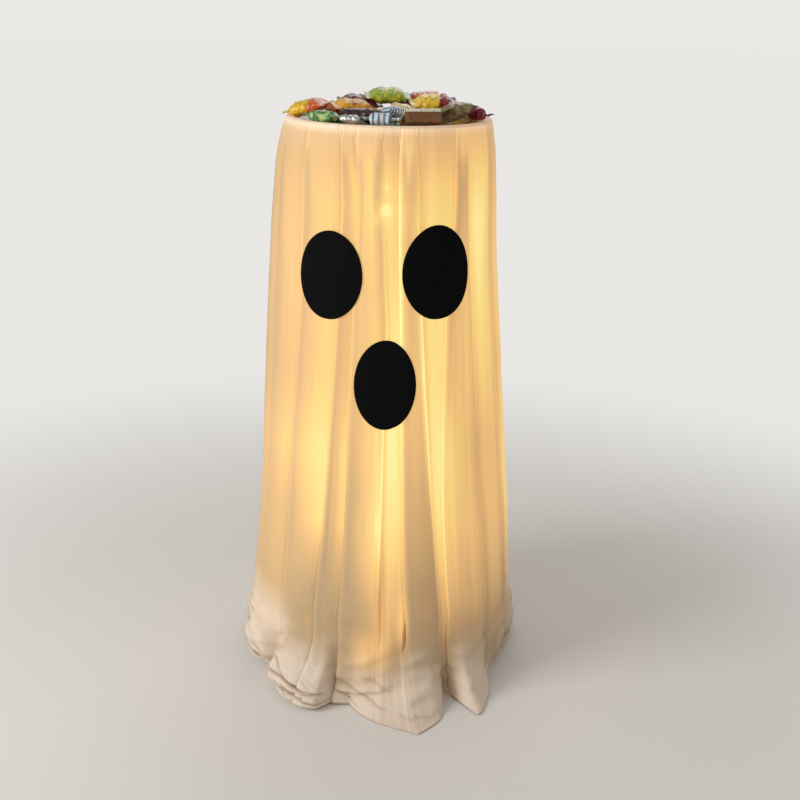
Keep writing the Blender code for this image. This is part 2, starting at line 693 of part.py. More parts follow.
def add_case():
    half = CASE_WIDTH / 2
    low, high = (-half, CASE_FRONT_Y, CASE_BOTTOM), (half, CASE_BACK_Y, CASE_TOP)
    case = block("battery_case", low, high, CASE_PLASTIC)
    groove_front = CASE_FRONT_Y + RAIL_LAND
    for side in (-1, 1):
        ends = sorted((side * (half - RAIL_DEPTH), side * (half + CUT_OVERRUN)))
        cut_box(
            case,
            (ends[0], groove_front, CASE_BOTTOM - CUT_OVERRUN),
            (ends[1], groove_front + RAIL_HEIGHT, CASE_TOP + CUT_OVERRUN),
        )
    bay_back = CASE_BACK_Y - CASE_WALL
    cut_box(
        case,
        (-BAY_WIDTH / 2, CASE_FRONT_Y - CUT_OVERRUN, BAY_BOTTOM),
        (BAY_WIDTH / 2, bay_back, BAY_TOP),
    )
    bay_half = SWITCH_BAY_WIDTH / 2
    switch_front = CASE_FRONT_Y + CASE_WALL
    cut_box(
        case,
        (SWITCH_X - bay_half, switch_front, SWITCH_BAY_BOTTOM),
        (SWITCH_X + bay_half, bay_back, SWITCH_BAY_TOP),
    )
    slot_half = (KNOB_DEPTH + 2 * TOUCH_GAP) / 2
    slot_left = SWITCH_X - KNOB_WIDTH / 2 - SWITCH_TRAVEL - TOUCH_GAP
    slot_right = SWITCH_X + KNOB_WIDTH / 2 + TOUCH_GAP
    cut_box(
        case,
        (slot_left, CELL_Y - slot_half, SWITCH_BAY_TOP - CUT_OVERRUN),
        (slot_right, CELL_Y + slot_half, CASE_TOP + CUT_OVERRUN),
    )
    join_box(
        case,
        (-TAB_WIDTH / 2, CASE_BACK_Y - TAB_THICKNESS, CASE_TOP - CUT_OVERRUN),
        (TAB_WIDTH / 2, CASE_BACK_Y, CASE_TOP + TAB_HEIGHT),
    )
    slot_low = CASE_TOP + (TAB_HEIGHT - TAB_SLOT_HEIGHT) / 2
    for side in (-1, 1):
        middle = side * TAB_SLOT_X
        cut_box(
            case,
            (middle - TAB_SLOT_WIDTH / 2, CASE_BACK_Y - TAB_THICKNESS - CUT_OVERRUN, slot_low),
            (middle + TAB_SLOT_WIDTH / 2, CASE_BACK_Y + CUT_OVERRUN, slot_low + TAB_SLOT_HEIGHT),
        )


def add_cover():
    """A channel whose lips run in the case's grooves: an outline in plan, extruded up the case."""
    half = CASE_WIDTH / 2 + COVER_PLAY
    lip = CASE_WIDTH / 2 - RAIL_DEPTH + COVER_PLAY
    inner_front = CASE_FRONT_Y - COVER_PLAY
    lip_front = CASE_FRONT_Y + RAIL_LAND + COVER_PLAY / 2
    lip_back = lip_front + RAIL_HEIGHT - COVER_PLAY
    outer_front = inner_front - COVER_WALL
    right = [
        (lip, lip_front),
        (lip, lip_back),
        (half + COVER_WALL, lip_back),
        (half + COVER_WALL, outer_front),
    ]
    outline = [(half, lip_front)] + right
    outline += [(-x, y) for x, y in reversed(outline)]
    inner = [(-half, inner_front), (half, inner_front)]
    length = BAY_TOP + CASE_WALL - CASE_BOTTOM
    curve = bpy.data.curves.new("battery_cover", "CURVE")
    curve.dimensions = "2D"
    curve.fill_mode = "BOTH"
    curve.extrude = length / 2
    spline = curve.splines.new("POLY")
    spline.use_cyclic_u = True
    points = outline + inner
    spline.points.add(len(points) - 1)
    for index, point in enumerate(points):
        spline.points[index].co = (*point, 0, 1)
    cover = add_object("battery_cover", curve, CASE_PLASTIC)
    cover.location.z = CASE_BOTTOM + length / 2


def add_cells():
    jacket = finish("cell jacket", (0.05, 0.05, 0.055), 0.35, 0.3)
    nickel = finish("nickel contacts", (0.62, 0.60, 0.56), 0.3, 1.0)
    radius, nub = CELL_DIAMETER / 2, CELL_NUB_DIAMETER / 2
    body_top = CELL_LENGTH - CELL_NUB_LENGTH
    profile = [(0, CELL_LENGTH), (nub, CELL_LENGTH), (nub, body_top), (radius, body_top), (radius, 0), (0, 0)]
    for index in range(CELL_COUNT):
        x = (index - (CELL_COUNT - 1) / 2) * CELL_PITCH
        up = 1 if index % 2 == 0 else -1
        plus_end = BAY_TOP if up > 0 else BAY_BOTTOM
        minus_end = BAY_BOTTOM if up > 0 else BAY_TOP
        cell = turned(f"cell_{index + 1}", profile, CELL_STEPS, jacket)
        nub_end = plus_end - up * (STRIP_THICKNESS + 2 * TOUCH_GAP)
        cell.location = (x, CELL_Y, nub_end - up * CELL_LENGTH)
        if up < 0:
            cell.rotation_euler.x = math.pi
        spring_foot = minus_end + up * (STRIP_THICKNESS + 2 * TOUCH_GAP)
        add_spring(f"contact_spring_{index + 1}", x, spring_foot, up, nickel)
    joined_width = CELL_PITCH + STRIP_WIDTH
    add_strip("contact_strip_1", -CELL_PITCH, STRIP_WIDTH, BAY_TOP, -1, nickel)
    add_strip("contact_strip_2", CELL_PITCH / 2, joined_width, BAY_TOP, -1, nickel)
    add_strip("contact_strip_3", -CELL_PITCH / 2, joined_width, BAY_BOTTOM, 1, nickel)
    add_strip("contact_strip_4", CELL_PITCH, STRIP_WIDTH, BAY_BOTTOM, 1, nickel)


def add_strip(name, middle, width, end, up, material):
    """A flat contact against one end of the cell bay."""
    low, high = sorted((end + up * TOUCH_GAP, end + up * (TOUCH_GAP + STRIP_THICKNESS)))
    back = CELL_Y + STRIP_WIDTH / 2
    block(name, (middle - width / 2, back - STRIP_WIDTH, low), (middle + width / 2, back, high), material)


def add_spring(name, x, foot, up, material):
    """A coil that presses a cell's flat end, standing on its strip."""
    steps = SPRING_TURN_STEPS * SPRING_TURNS
    coil = (SPRING_DIAMETER - SPRING_WIRE_DIAMETER) / 2
    rise = SPRING_LENGTH - SPRING_WIRE_DIAMETER - TOUCH_GAP
    points = []
    for step in range(steps + 1):
        share = step / steps
        height = foot + up * (SPRING_WIRE_DIAMETER / 2 + rise * share)
        points.append(Vector((x, CELL_Y, 0)) + polar(360 * SPRING_TURNS * share, coil, height))
    tube(name, points, SPRING_WIRE_DIAMETER, material, 0)


def add_switch():
    board_low = SWITCH_BAY_BOTTOM + TOUCH_GAP
    board_high = board_low + SWITCH_BOARD_THICKNESS
    half = SWITCH_BAY_WIDTH / 2 - TOUCH_GAP
    front, back = CASE_FRONT_Y + CASE_WALL + TOUCH_GAP, CASE_BACK_Y - CASE_WALL - TOUCH_GAP
    block(
        "switch_board",
        (SWITCH_X - half, front, board_low),
        (SWITCH_X + half, back, board_high),
        finish("circuit board", (0.04, 0.16, 0.06), 0.5),
    )
    plate_low, plate_high = board_high + TOUCH_GAP, SWITCH_BAY_TOP - TOUCH_GAP
    slider = block(
        "switch_slider",
        (SWITCH_X - SLIDER_WIDTH / 2, CELL_Y - SLIDER_DEPTH / 2, plate_low),
        (SWITCH_X + SLIDER_WIDTH / 2, CELL_Y + SLIDER_DEPTH / 2, plate_high),
        finish("slider plastic", (0.02, 0.02, 0.02), 0.5),
    )
    join_box(
        slider,
        (SWITCH_X - KNOB_WIDTH / 2, CELL_Y - KNOB_DEPTH / 2, plate_high - CUT_OVERRUN),
        (SWITCH_X + KNOB_WIDTH / 2, CELL_Y + KNOB_DEPTH / 2, CASE_TOP + KNOB_RISE),
    )


def add_ties():
    nylon = finish("tie nylon", (0.75, 0.74, 0.70), 0.5)
    middle = CASE_TOP + TAB_HEIGHT / 2
    low = middle - TIE_WIDTH / 2
    grip = WIRE_RADIUS + TOUCH_GAP + TIE_THICKNESS / 2
    tab_front = CASE_BACK_Y - TAB_THICKNESS - TOUCH_GAP - TIE_THICKNESS / 2
    leg_y = leg_radius(middle)
    corner = grip / math.cos(math.radians(22.5))
    behind = CASE_BACK_Y + TIE_THICKNESS
    path = [(-TAB_SLOT_X, tab_front), (TAB_SLOT_X, tab_front), (TAB_SLOT_X, behind)]
    for turn in (0, 45, 90, 135, 180):
        around = polar(turn, corner, 0)
        path.append((around.x, leg_y + around.y))
    path.append((-TAB_SLOT_X, behind))
    pack_tie = band("tie_battery_case", path, low, nylon)
    head_back = tab_front + TIE_THICKNESS / 4
    join_box(
        pack_tie,
        (-TIE_HEAD / 2, head_back - TIE_HEAD, middle - TIE_HEAD / 2),
        (TIE_HEAD / 2, head_back, middle + TIE_HEAD / 2),
    )
    first = crossing_height(0) - 2 * LAMP_LENGTH
    last = crossing_height(STRING_CROSSINGS - 1) + TAIL_RISE * sum(TAIL_HELD_SHARES) / 2
    last_direction = LEG_DIRECTIONS["leg_back"] - 90 * (STRING_CROSSINGS - 1)
    add_string_tie("tie_string_start", LEG_DIRECTIONS["leg_back"], -90, first, nylon)
    add_string_tie("tie_string_end", last_direction, 90, last, nylon)


def add_string_tie(name, direction, side, height, material):
    """A tie round a leg and the string beside it."""
    reach = (WIRE_RADIUS + STRING_SIDE + STRING_WIRE_DIAMETER / 2) / 2
    centre = beside_leg(direction, height, side, reach - WIRE_RADIUS)
    radius = (reach + TOUCH_GAP + TIE_THICKNESS / 2) / math.cos(math.pi / TIE_POINTS)
    path = []
    for index in range(TIE_POINTS):
        point = centre + polar(360 * index / TIE_POINTS, radius, 0)
        path.append((point.x, point.y))
    tie = band(name, path, height - TIE_WIDTH / 2, material)
    head = centre + polar(direction, radius + TIE_HEAD / 2 - TIE_THICKNESS / 4, 0)
    half = Vector((TIE_HEAD, TIE_HEAD, TIE_HEAD)) / 2
    join_box(tie, head - half, head + half)


def candy_piece(name, kind, material):
    """One wrapped candy, its length along X: a box divided at its stations and drawn in there."""
    length, width, thickness = CANDY_SIZES[kind]
    if kind == "carton":
        size = Vector((length, width, thickness))
        piece = block(name, -size / 2, size / 2, material)
        edge = piece.modifiers.new("Edges", "BEVEL")
        edge.width = CARTON_EDGE
        edge.segments = 1
        return piece
    shape = bmesh.new()
    bmesh.ops.create_cube(shape, size=1.0)
    stations = CANDY_STATION_SHARES[kind]
    for place, _, _ in stations[1:]:
        for side in (-place, place):
            everything = shape.verts[:] + shape.edges[:] + shape.faces[:]
            bmesh.ops.bisect_plane(shape, geom=everything, plane_co=(side, 0, 0), plane_no=(1, 0, 0))
    for vertex in shape.verts:
        _, wide, thick = min(stations, key=lambda station: abs(station[0] - abs(vertex.co.x)))
        vertex.co = vertex.co * Vector((length, wide * width, thick * thickness))
    piece = add_mesh(name, shape, material)
    soft = piece.modifiers.new("Soft", "SUBSURF")
    soft.levels = 1
    soft.render_levels = 1
    return piece


def evaluated_triangles(piece, place):
    """The piece's points with its modifiers on, moved by the matrix, and its triangles."""
    graph = bpy.context.evaluated_depsgraph_get()
    evaluated = piece.evaluated_get(graph)
    mesh = evaluated.to_mesh()
    mesh.calc_loop_triangles()
    points = [place @ vertex.co for vertex in mesh.vertices]
    faces = [tuple(triangle.vertices) for triangle in mesh.loop_triangles]
    evaluated.to_mesh_clear()
    return points, faces


def seat_candy(piece, x, y, rotation, laid):
    """Lets the candy down until it meets the cloth or a candy, and leaves the touching gap."""
    turned_points, faces = evaluated_triangles(piece, rotation.to_matrix().to_4x4())
    high = RIM_HEIGHT + CANDY_DROP_HEIGHT

    def touches(height):
        moved = [point + Vector((x, y, height)) for point in turned_points]
        tree = BVHTree.FromPolygons(moved, faces)
        return any(tree.overlap(other) for other in laid)

    while not touches(high - CANDY_DROP_STEP) and high > BOWL_BOTTOM:
        high -= CANDY_DROP_STEP
    low = high - CANDY_DROP_STEP
    for _ in range(6):
        middle = (low + high) / 2
        if touches(middle):
            low = middle
        else:
            high = middle
    piece.rotation_euler = rotation
    piece.location = (x, y, high + TOUCH_GAP)
    moved = [point + piece.location for point in turned_points]
    laid.append(BVHTree.FromPolygons(moved, faces))


def add_candy():
    bpy.context.view_layer.update()
    laid = [BVHTree.FromPolygons(*evaluated_triangles(bpy.data.objects["ghost_sheet"], Matrix()))]
    for index, (kind, right, back, turn, pitch, roll, colour) in enumerate(CANDY_PLACE_SHARES):
        name = f"candy_{index + 1:02d}"
        wrapper = finish(f"wrapper {name}", colour, 0.3, 0.15)
        piece = candy_piece(name, kind, wrapper)
        bpy.context.view_layer.update()
        rotation = Euler((math.radians(roll), math.radians(pitch), math.radians(turn)), "XYZ")
        seat_candy(piece, right * BOWL_FLANGE_RADIUS, back * BOWL_FLANGE_RADIUS, rotation, laid)


clear_scene()
PARTS = new_collection("Ghost candy bowl holder")
CUTTERS = new_collection("Cutters")
BLACK = finish("black felt", BLACK_FELT, 0.95)
CASE_PLASTIC = finish("case plastic", (0.03, 0.03, 0.032), 0.45)
add_cage()
add_bowl()
add_sheet()
for oval in FELT_OVALS:
    add_felt(*oval)
add_string()
add_case()
add_cover()
add_cells()
add_switch()
add_ties()
add_candy()
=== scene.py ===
"""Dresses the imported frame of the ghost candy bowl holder: camera and light, then every piece."""

import math

import bmesh
import bpy
import numpy as np
from mathutils import Euler, Matrix, Vector


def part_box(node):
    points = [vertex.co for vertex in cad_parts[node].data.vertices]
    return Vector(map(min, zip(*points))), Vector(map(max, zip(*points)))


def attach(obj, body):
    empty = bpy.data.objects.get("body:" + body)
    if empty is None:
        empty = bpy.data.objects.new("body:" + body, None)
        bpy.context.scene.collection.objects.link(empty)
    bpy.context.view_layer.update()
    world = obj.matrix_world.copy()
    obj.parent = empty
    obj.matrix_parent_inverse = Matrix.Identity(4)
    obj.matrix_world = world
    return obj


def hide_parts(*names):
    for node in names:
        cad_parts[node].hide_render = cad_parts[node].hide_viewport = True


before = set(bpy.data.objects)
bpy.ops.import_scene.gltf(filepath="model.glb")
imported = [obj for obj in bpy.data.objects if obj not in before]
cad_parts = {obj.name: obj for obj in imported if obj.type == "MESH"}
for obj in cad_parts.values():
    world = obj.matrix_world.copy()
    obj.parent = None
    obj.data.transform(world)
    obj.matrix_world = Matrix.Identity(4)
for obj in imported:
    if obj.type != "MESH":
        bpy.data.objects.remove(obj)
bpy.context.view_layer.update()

# Camera: fitted to the rim's ellipse, the foot of the axis and the side outlines.
pitch, yaw, roll = 0.3199, 0.0134, 0.0209
camera_place = (0, -1.846, 1.0409)
focal_pixels, photo_pixels, sensor_width = 1200, 800, 36
forward = Vector(
    (math.sin(yaw) * math.cos(pitch), math.cos(yaw) * math.cos(pitch), -math.sin(pitch))
)
level = forward.cross(Vector((0, 0, 1))).normalized()
upward = level.cross(forward)
right = level * math.cos(roll) + upward * math.sin(roll)
top = -level * math.sin(roll) + upward * math.cos(roll)
camera = bpy.data.objects.new("camera", bpy.data.cameras.new("camera"))
camera.matrix_world = Matrix.Translation(camera_place) @ (
    Matrix((right, top, -forward)).transposed().to_4x4()
)
camera.data.sensor_width = sensor_width
camera.data.lens = sensor_width * focal_pixels / photo_pixels
bpy.context.scene.collection.objects.link(camera)
bpy.context.scene.camera = camera

# Floor: matt pale paint, which keeps the object's shadow. The sky behind it is as pale to the
# camera alone, and a soft grey dome to the object. The functions serve every section after this.


def linear(colour):
    """An sRGB hex colour as linear RGBA."""
    channels = [int(colour[i : i + 2], 16) / 255 for i in (0, 2, 4)]
    return (*(c / 12.92 if c < 0.04045 else ((c + 0.055) / 1.055) ** 2.4 for c in channels), 1)


def set_inputs(node, inputs):
    """Sets inputs, by name or index, each to a value, a socket or another node's first output."""
    for key, value in inputs.items():
        if isinstance(value, bpy.types.Node):
            value = value.outputs[0]
        if isinstance(value, bpy.types.NodeSocket):
            node.id_data.links.new(value, node.inputs[key])
        else:
            node.inputs[key].default_value = value


def add_node(tree, kind, inputs=None, **settings):
    """Adds a shader or geometry node with its settings and inputs."""
    node = tree.nodes.new(kind)
    for name, value in settings.items():
        setattr(node, name, value)
    set_inputs(node, inputs or {})
    return node


def distance_from(tree, value, middle):
    """How far a value lies from a middle, as a node."""
    off = add_node(tree, "ShaderNodeMath", {0: value, 1: middle}, operation="SUBTRACT")
    return add_node(tree, "ShaderNodeMath", {0: off}, operation="ABSOLUTE")


def new_material(name):
    """(material, its nodes, its Principled shader)."""
    material = bpy.data.materials.new(name)
    material.use_nodes = True
    return material, material.node_tree, material.node_tree.nodes["Principled BSDF"]


def new_object(name, data, *materials):
    """Links an object at the origin and gives it its materials."""
    piece = bpy.data.objects.new(name, data)
    bpy.context.scene.collection.objects.link(piece)
    for material in materials:
        data.materials.append(material)
    return piece


paint, paint_nodes, paint_shader = new_material("pale matt paint")
grain = add_node(paint_nodes, "ShaderNodeTexNoise", {"Scale": 60.0, "Detail": 4.0})
tone = add_node(
    paint_nodes,
    "ShaderNodeMix",
    {"Factor": grain, "A": linear("DEDCD8"), "B": linear("E6E4E0")},
    data_type="RGBA",
)
set_inputs(paint_shader, {"Base Color": tone.outputs["Result"], "Roughness": 0.9})
# away from the object the camera sees an even pale tone, which lights nothing
spot = add_node(
    paint_nodes, "ShaderNodeVectorMath", {0: add_node(paint_nodes, "ShaderNodeTexCoord").outputs["Object"]},
    operation="LENGTH"
)
away = add_node(
    paint_nodes, "ShaderNodeMapRange", {"Value": spot.outputs["Value"], "From Min": 0.45, "From Max": 1.7},
    interpolation_type="SMOOTHSTEP"
)
away = add_node(
    paint_nodes, "ShaderNodeMath",
    {0: away, 1: add_node(paint_nodes, "ShaderNodeLightPath").outputs["Is Camera Ray"]},
    operation="MULTIPLY"
)
even = add_node(paint_nodes, "ShaderNodeEmission", {"Color": linear("E9E7E4"), "Strength": 1.0})
both = add_node(paint_nodes, "ShaderNodeMixShader", {0: away, 1: paint_shader, 2: even})
set_inputs(paint_nodes.nodes["Material Output"], {"Surface": both})
floor_mesh = bpy.data.meshes.new("floor")
floor_mesh.from_pydata(
    [(-30, -30, 0), (30, -30, 0), (30, 30, 0), (-30, 30, 0)], [], [(0, 1, 2, 3)]
)
floor = new_object("floor", floor_mesh, paint)

world = bpy.data.worlds.new("studio")
world.use_nodes = True
sky = world.node_tree
sky.nodes.clear()
rays = add_node(sky, "ShaderNodeLightPath")
seen = add_node(sky, "ShaderNodeBackground", {"Color": linear("EAE8E5"), "Strength": 1.0})
dome = add_node(sky, "ShaderNodeBackground", {"Color": linear("F4F2EE"), "Strength": 0.42})
shown = add_node(sky, "ShaderNodeMixShader", {0: rays.outputs["Is Camera Ray"], 1: dome, 2: seen})
add_node(sky, "ShaderNodeOutputWorld", {"Surface": shown})
bpy.context.scene.world = world
bpy.context.scene.view_settings.view_transform = "Standard"

# Studio lights: a large soft key from the front left, a weaker fill from the right and one behind.
for name, place, size, power in (
    ("key", (-2.45, -1.35, 1.5), 1.4, 54),
    ("fill", (2.0, -1.6, 1.9), 2.0, 6),
    ("rear", (0.6, 2.2, 2.2), 2.0, 16),
):
    lamp = bpy.data.objects.new(name, bpy.data.lights.new(name, "AREA"))
    lamp.data.size = size
    lamp.data.energy = power
    lamp.location = place
    lamp.rotation_euler = (Vector((0, 0, 0.5)) - lamp.location).to_track_quat("-Z", "Y").to_euler()
    bpy.context.scene.collection.objects.link(lamp)

# Light string: a thin twisted pair of lacquered wires with moulded lamp drops. It rises along the
# back leg and winds clockwise round the four legs, a leg a crossing, and its tail lies up the last.
wire, ring_low, ring_mid, cage_top = 0.004, 0.150, 0.479, 0.874
side_gap = wire / 2 + 0.0003 + 0.0006
lamp_length = 0.008
# crossings of a leg, how many of them lie below the middle ring, the wire's sag between two legs, and
# how far the tail rises and stands off the leg
crossings, crossings_below, wire_sag, tail_rise, tail_reach = 19, 8.5, 0.004, 0.036, 0.013
corner_gap = side_gap / math.cos(math.radians(22.5))


def leg_radius(height):
    """How far a leg's middle is from the axis."""
    return 0.1035 + (0.1455 + wire + 0.0003 - 0.1035) * height / (cage_top - wire / 2)


def crossing_height(index):
    """The height at which the string crosses a leg, counted from the pack."""
    first, last = ring_low + 0.074, cage_top - 0.110
    if index < crossings_below:
        return first + (ring_mid - first) * index / crossings_below
    return ring_mid + (last - ring_mid) * (index - crossings_below) / (crossings - 1 - crossings_below)


def beside_leg(direction, height, turn, distance):
    """A point beside a leg, turned clockwise from its outer side."""
    out, aside = math.radians(direction), math.radians(direction - turn)
    radius = leg_radius(height)
    return Vector(
        (
            radius * math.cos(out) + distance * math.cos(aside),
            radius * math.sin(out) + distance * math.sin(aside),
            height,
        )
    )


def add_lamp(centre, along):
    """Puts a lamp on the route, which runs straight through it."""
    lamps.append((centre, along.copy()))
    route.extend(centre + along * lamp_length * step for step in (-0.5, -0.25, 0.25, 0.5))


lamps = []
route = [
    Vector((-0.010, 0.0932, 0.0881)),
    Vector((-0.010, 0.0932, 0.0958)),
    beside_leg(90, (0.0878 + ring_low) / 2, -90, 0.0046),
    beside_leg(90, ring_low, -90, side_gap),
    beside_leg(90, crossing_height(0) - 2 * lamp_length, -90, side_gap),
    beside_leg(90, crossing_height(0) - lamp_length / 2, -90, corner_gap),
]
for index in range(crossings):
    direction, height = 90 - 90 * index, crossing_height(index)
    if index:
        start, end = route[-1], beside_leg(direction, height, -45, corner_gap)
        for place in (0.36, 0.86):
            sag = Vector((0, 0, wire_sag * 4 * place * (1 - place)))
            add_lamp(start.lerp(end, place) - sag, (end - start).normalized())
    route.extend(beside_leg(direction, height, turn, corner_gap) for turn in (-45, 0, 45))
tail_side = beside_leg(direction, height, 90, tail_reach)
add_lamp(tail_side, (tail_side - route[-1]).normalized())
route += [
    beside_leg(direction, height + tail_rise * rise, 90, tail_reach * reach)
    for rise, reach in ((0.35, 0.8), (0.5, 0.35))
]
route += [beside_leg(direction, height + tail_rise * rise, 90, side_gap) for rise in (0.62, 0.8)]
tail_tip = beside_leg(direction, height + tail_rise * 1.15, 90, tail_reach / 2)
add_lamp(tail_tip, (tail_tip - route[-1]).normalized())
lamp_places = np.array([centre for centre, _ in lamps])

string_curve = bpy.data.curves.new("light_string_route", "CURVE")
string_curve.dimensions = "3D"
line = string_curve.splines.new("POLY")
line.points.add(len(route) - 1)
for point, place in zip(line.points, route):
    point.co = (*place, 1)
drop_points = bpy.data.meshes.new("lamp_drop_places")
drop_points.from_pydata([tuple(centre) for centre, _ in lamps], [], [])
layer = drop_points.attributes.new("along", "FLOAT_VECTOR", "POINT")
layer.data.foreach_set("vector", np.array([tuple(along) for _, along in lamps], np.float32).reshape(-1))

# copper that shows warm and bright through its clear lacquer
copper, copper_nodes, copper_shader = new_material("lacquered copper wire")
where = add_node(copper_nodes, "ShaderNodeTexCoord")
dulled = add_node(
    copper_nodes, "ShaderNodeTexNoise", {"Vector": where.outputs["Object"], "Scale": 90.0, "Detail": 3.0}
)
shade = add_node(
    copper_nodes, "ShaderNodeMix", {"Factor": dulled, "A": linear("A8683C"), "B": linear("CF9A68")},
    data_type="RGBA"
)
gloss = add_node(copper_nodes, "ShaderNodeMapRange", {"Value": dulled, "To Min": 0.18, "To Max": 0.36})
set_inputs(
    copper_shader,
    {"Base Color": shade.outputs["Result"], "Roughness": gloss, "Metallic": 1.0, "Coat Weight": 0.5},
)
# a clear drop, lit warm, a little cloudy in its tone
resin, resin_nodes, resin_shader = new_material("lit clear resin")
facing = add_node(resin_nodes, "ShaderNodeTexCoord")
cloudy = add_node(
    resin_nodes, "ShaderNodeTexNoise", {"Vector": facing.outputs["Object"], "Scale": 400.0, "Detail": 2.0}
)
lit = add_node(
    resin_nodes, "ShaderNodeMix", {"Factor": cloudy, "A": linear("FFC766"), "B": linear("FFE7B0")},
    data_type="RGBA"
)
set_inputs(
    resin_shader,
    {
        "Base Color": lit.outputs["Result"],
        "Emission Color": lit.outputs["Result"],
        "Emission Strength": 2.0,
        "Roughness": 0.12,
    },
)


def geometry_tree(name, inputs):
    """A geometry node group with an input and an output geometry and the named float inputs."""
    tree = bpy.data.node_groups.new(name, "GeometryNodeTree")
    tree.interface.new_socket("Geometry", in_out="INPUT", socket_type="NodeSocketGeometry")
    for label in inputs:
        tree.interface.new_socket(label, in_out="INPUT", socket_type="NodeSocketFloat")
    tree.interface.new_socket("Geometry", in_out="OUTPUT", socket_type="NodeSocketGeometry")
    return tree, add_node(tree, "NodeGroupInput").outputs


def grown(name, data, tree, values, material):
    """The plain mesh object that the node group makes from the data."""
    source = bpy.data.objects.new(name + "_source", data)
    bpy.context.scene.collection.objects.link(source)
    nodes = source.modifiers.new("Grow", "NODES")
    nodes.node_group = tree
    for item in tree.interface.items_tree:
        if item.in_out == "INPUT" and item.name in values:
            nodes[item.identifier] = values[item.name]
    bpy.context.view_layer.update()
    mesh = bpy.data.meshes.new_from_object(source.evaluated_get(bpy.context.evaluated_depsgraph_get()))
    bpy.data.objects.remove(source)
    mesh.name = name
    mesh.materials.clear()
    mesh.shade_smooth()
    return new_object(name, mesh, material)


tree, given = geometry_tree("twisted pair", ("Step", "Strand radius", "Strand offset", "Turn length"))
stepped = add_node(
    tree, "GeometryNodeResampleCurve", {"Curve": given["Geometry"], "Length": given["Step"]}, mode="LENGTH"
)
run = add_node(tree, "GeometryNodeSplineParameter")
phase = add_node(
    tree, "ShaderNodeMath", {0: run.outputs["Length"], 1: given["Turn length"]}, operation="DIVIDE"
)
phase = add_node(tree, "ShaderNodeMath", {0: phase, 1: 2 * math.pi}, operation="MULTIPLY")
normal, tangent = add_node(tree, "GeometryNodeInputNormal"), add_node(tree, "GeometryNodeInputTangent")
section = add_node(
    tree, "GeometryNodeCurvePrimitiveCircle", {"Resolution": 6, "Radius": given["Strand radius"]}
)
strands = add_node(tree, "GeometryNodeJoinGeometry")
for half in (0, math.pi):
    turned_by = add_node(tree, "ShaderNodeMath", {0: phase, 1: half}, operation="ADD")
    aside = add_node(
        tree, "ShaderNodeVectorRotate", {"Vector": normal, "Axis": tangent, "Angle": turned_by}
    )
    offset = add_node(
        tree, "ShaderNodeVectorMath", {0: aside, "Scale": given["Strand offset"]}, operation="SCALE"
    )
    moved = add_node(tree, "GeometryNodeSetPosition", {"Geometry": stepped, "Offset": offset})
    strand = add_node(
        tree, "GeometryNodeCurveToMesh", {"Curve": moved, "Profile Curve": section, "Fill Caps": True}
    )
    tree.links.new(strand.outputs[0], strands.inputs[0])
real = add_node(tree, "GeometryNodeRealizeInstances", {0: strands})
finished = add_node(tree, "GeometryNodeSetMaterial", {"Geometry": real, "Material": copper})
add_node(tree, "NodeGroupOutput", {0: finished})
pair = grown(
    "light_string_pair",
    string_curve,
    tree,
    {"Step": 0.0018, "Strand radius": 0.00028, "Strand offset": 0.00029, "Turn length": 0.0105},
    copper,
)
tree, given = geometry_tree("lamp drops", ("Radius", "Length"))
ball = add_node(tree, "GeometryNodeMeshUVSphere", {"Segments": 14, "Rings": 10, "Radius": 1.0})
size = add_node(tree, "ShaderNodeCombineXYZ", {0: given["Radius"], 1: given["Radius"], 2: given["Length"]})
along = add_node(tree, "GeometryNodeInputNamedAttribute", {"Name": "along"}, data_type="FLOAT_VECTOR")
lie = add_node(tree, "FunctionNodeAlignRotationToVector", {"Vector": along}, axis="Z")
drops = add_node(
    tree,
    "GeometryNodeInstanceOnPoints",
    {"Points": given["Geometry"], "Instance": ball, "Rotation": lie, "Scale": size},
)
real = add_node(tree, "GeometryNodeRealizeInstances", {0: drops})
finished = add_node(tree, "GeometryNodeSetMaterial", {"Geometry": real, "Material": resin})
add_node(tree, "NodeGroupOutput", {0: finished})
drop_beads = grown("light_string_drops", drop_points, tree, {"Radius": 0.0021, "Length": 0.0040}, resin)
for piece in (pair, drop_beads):
    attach(piece, "ghost")
    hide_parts("light_string")

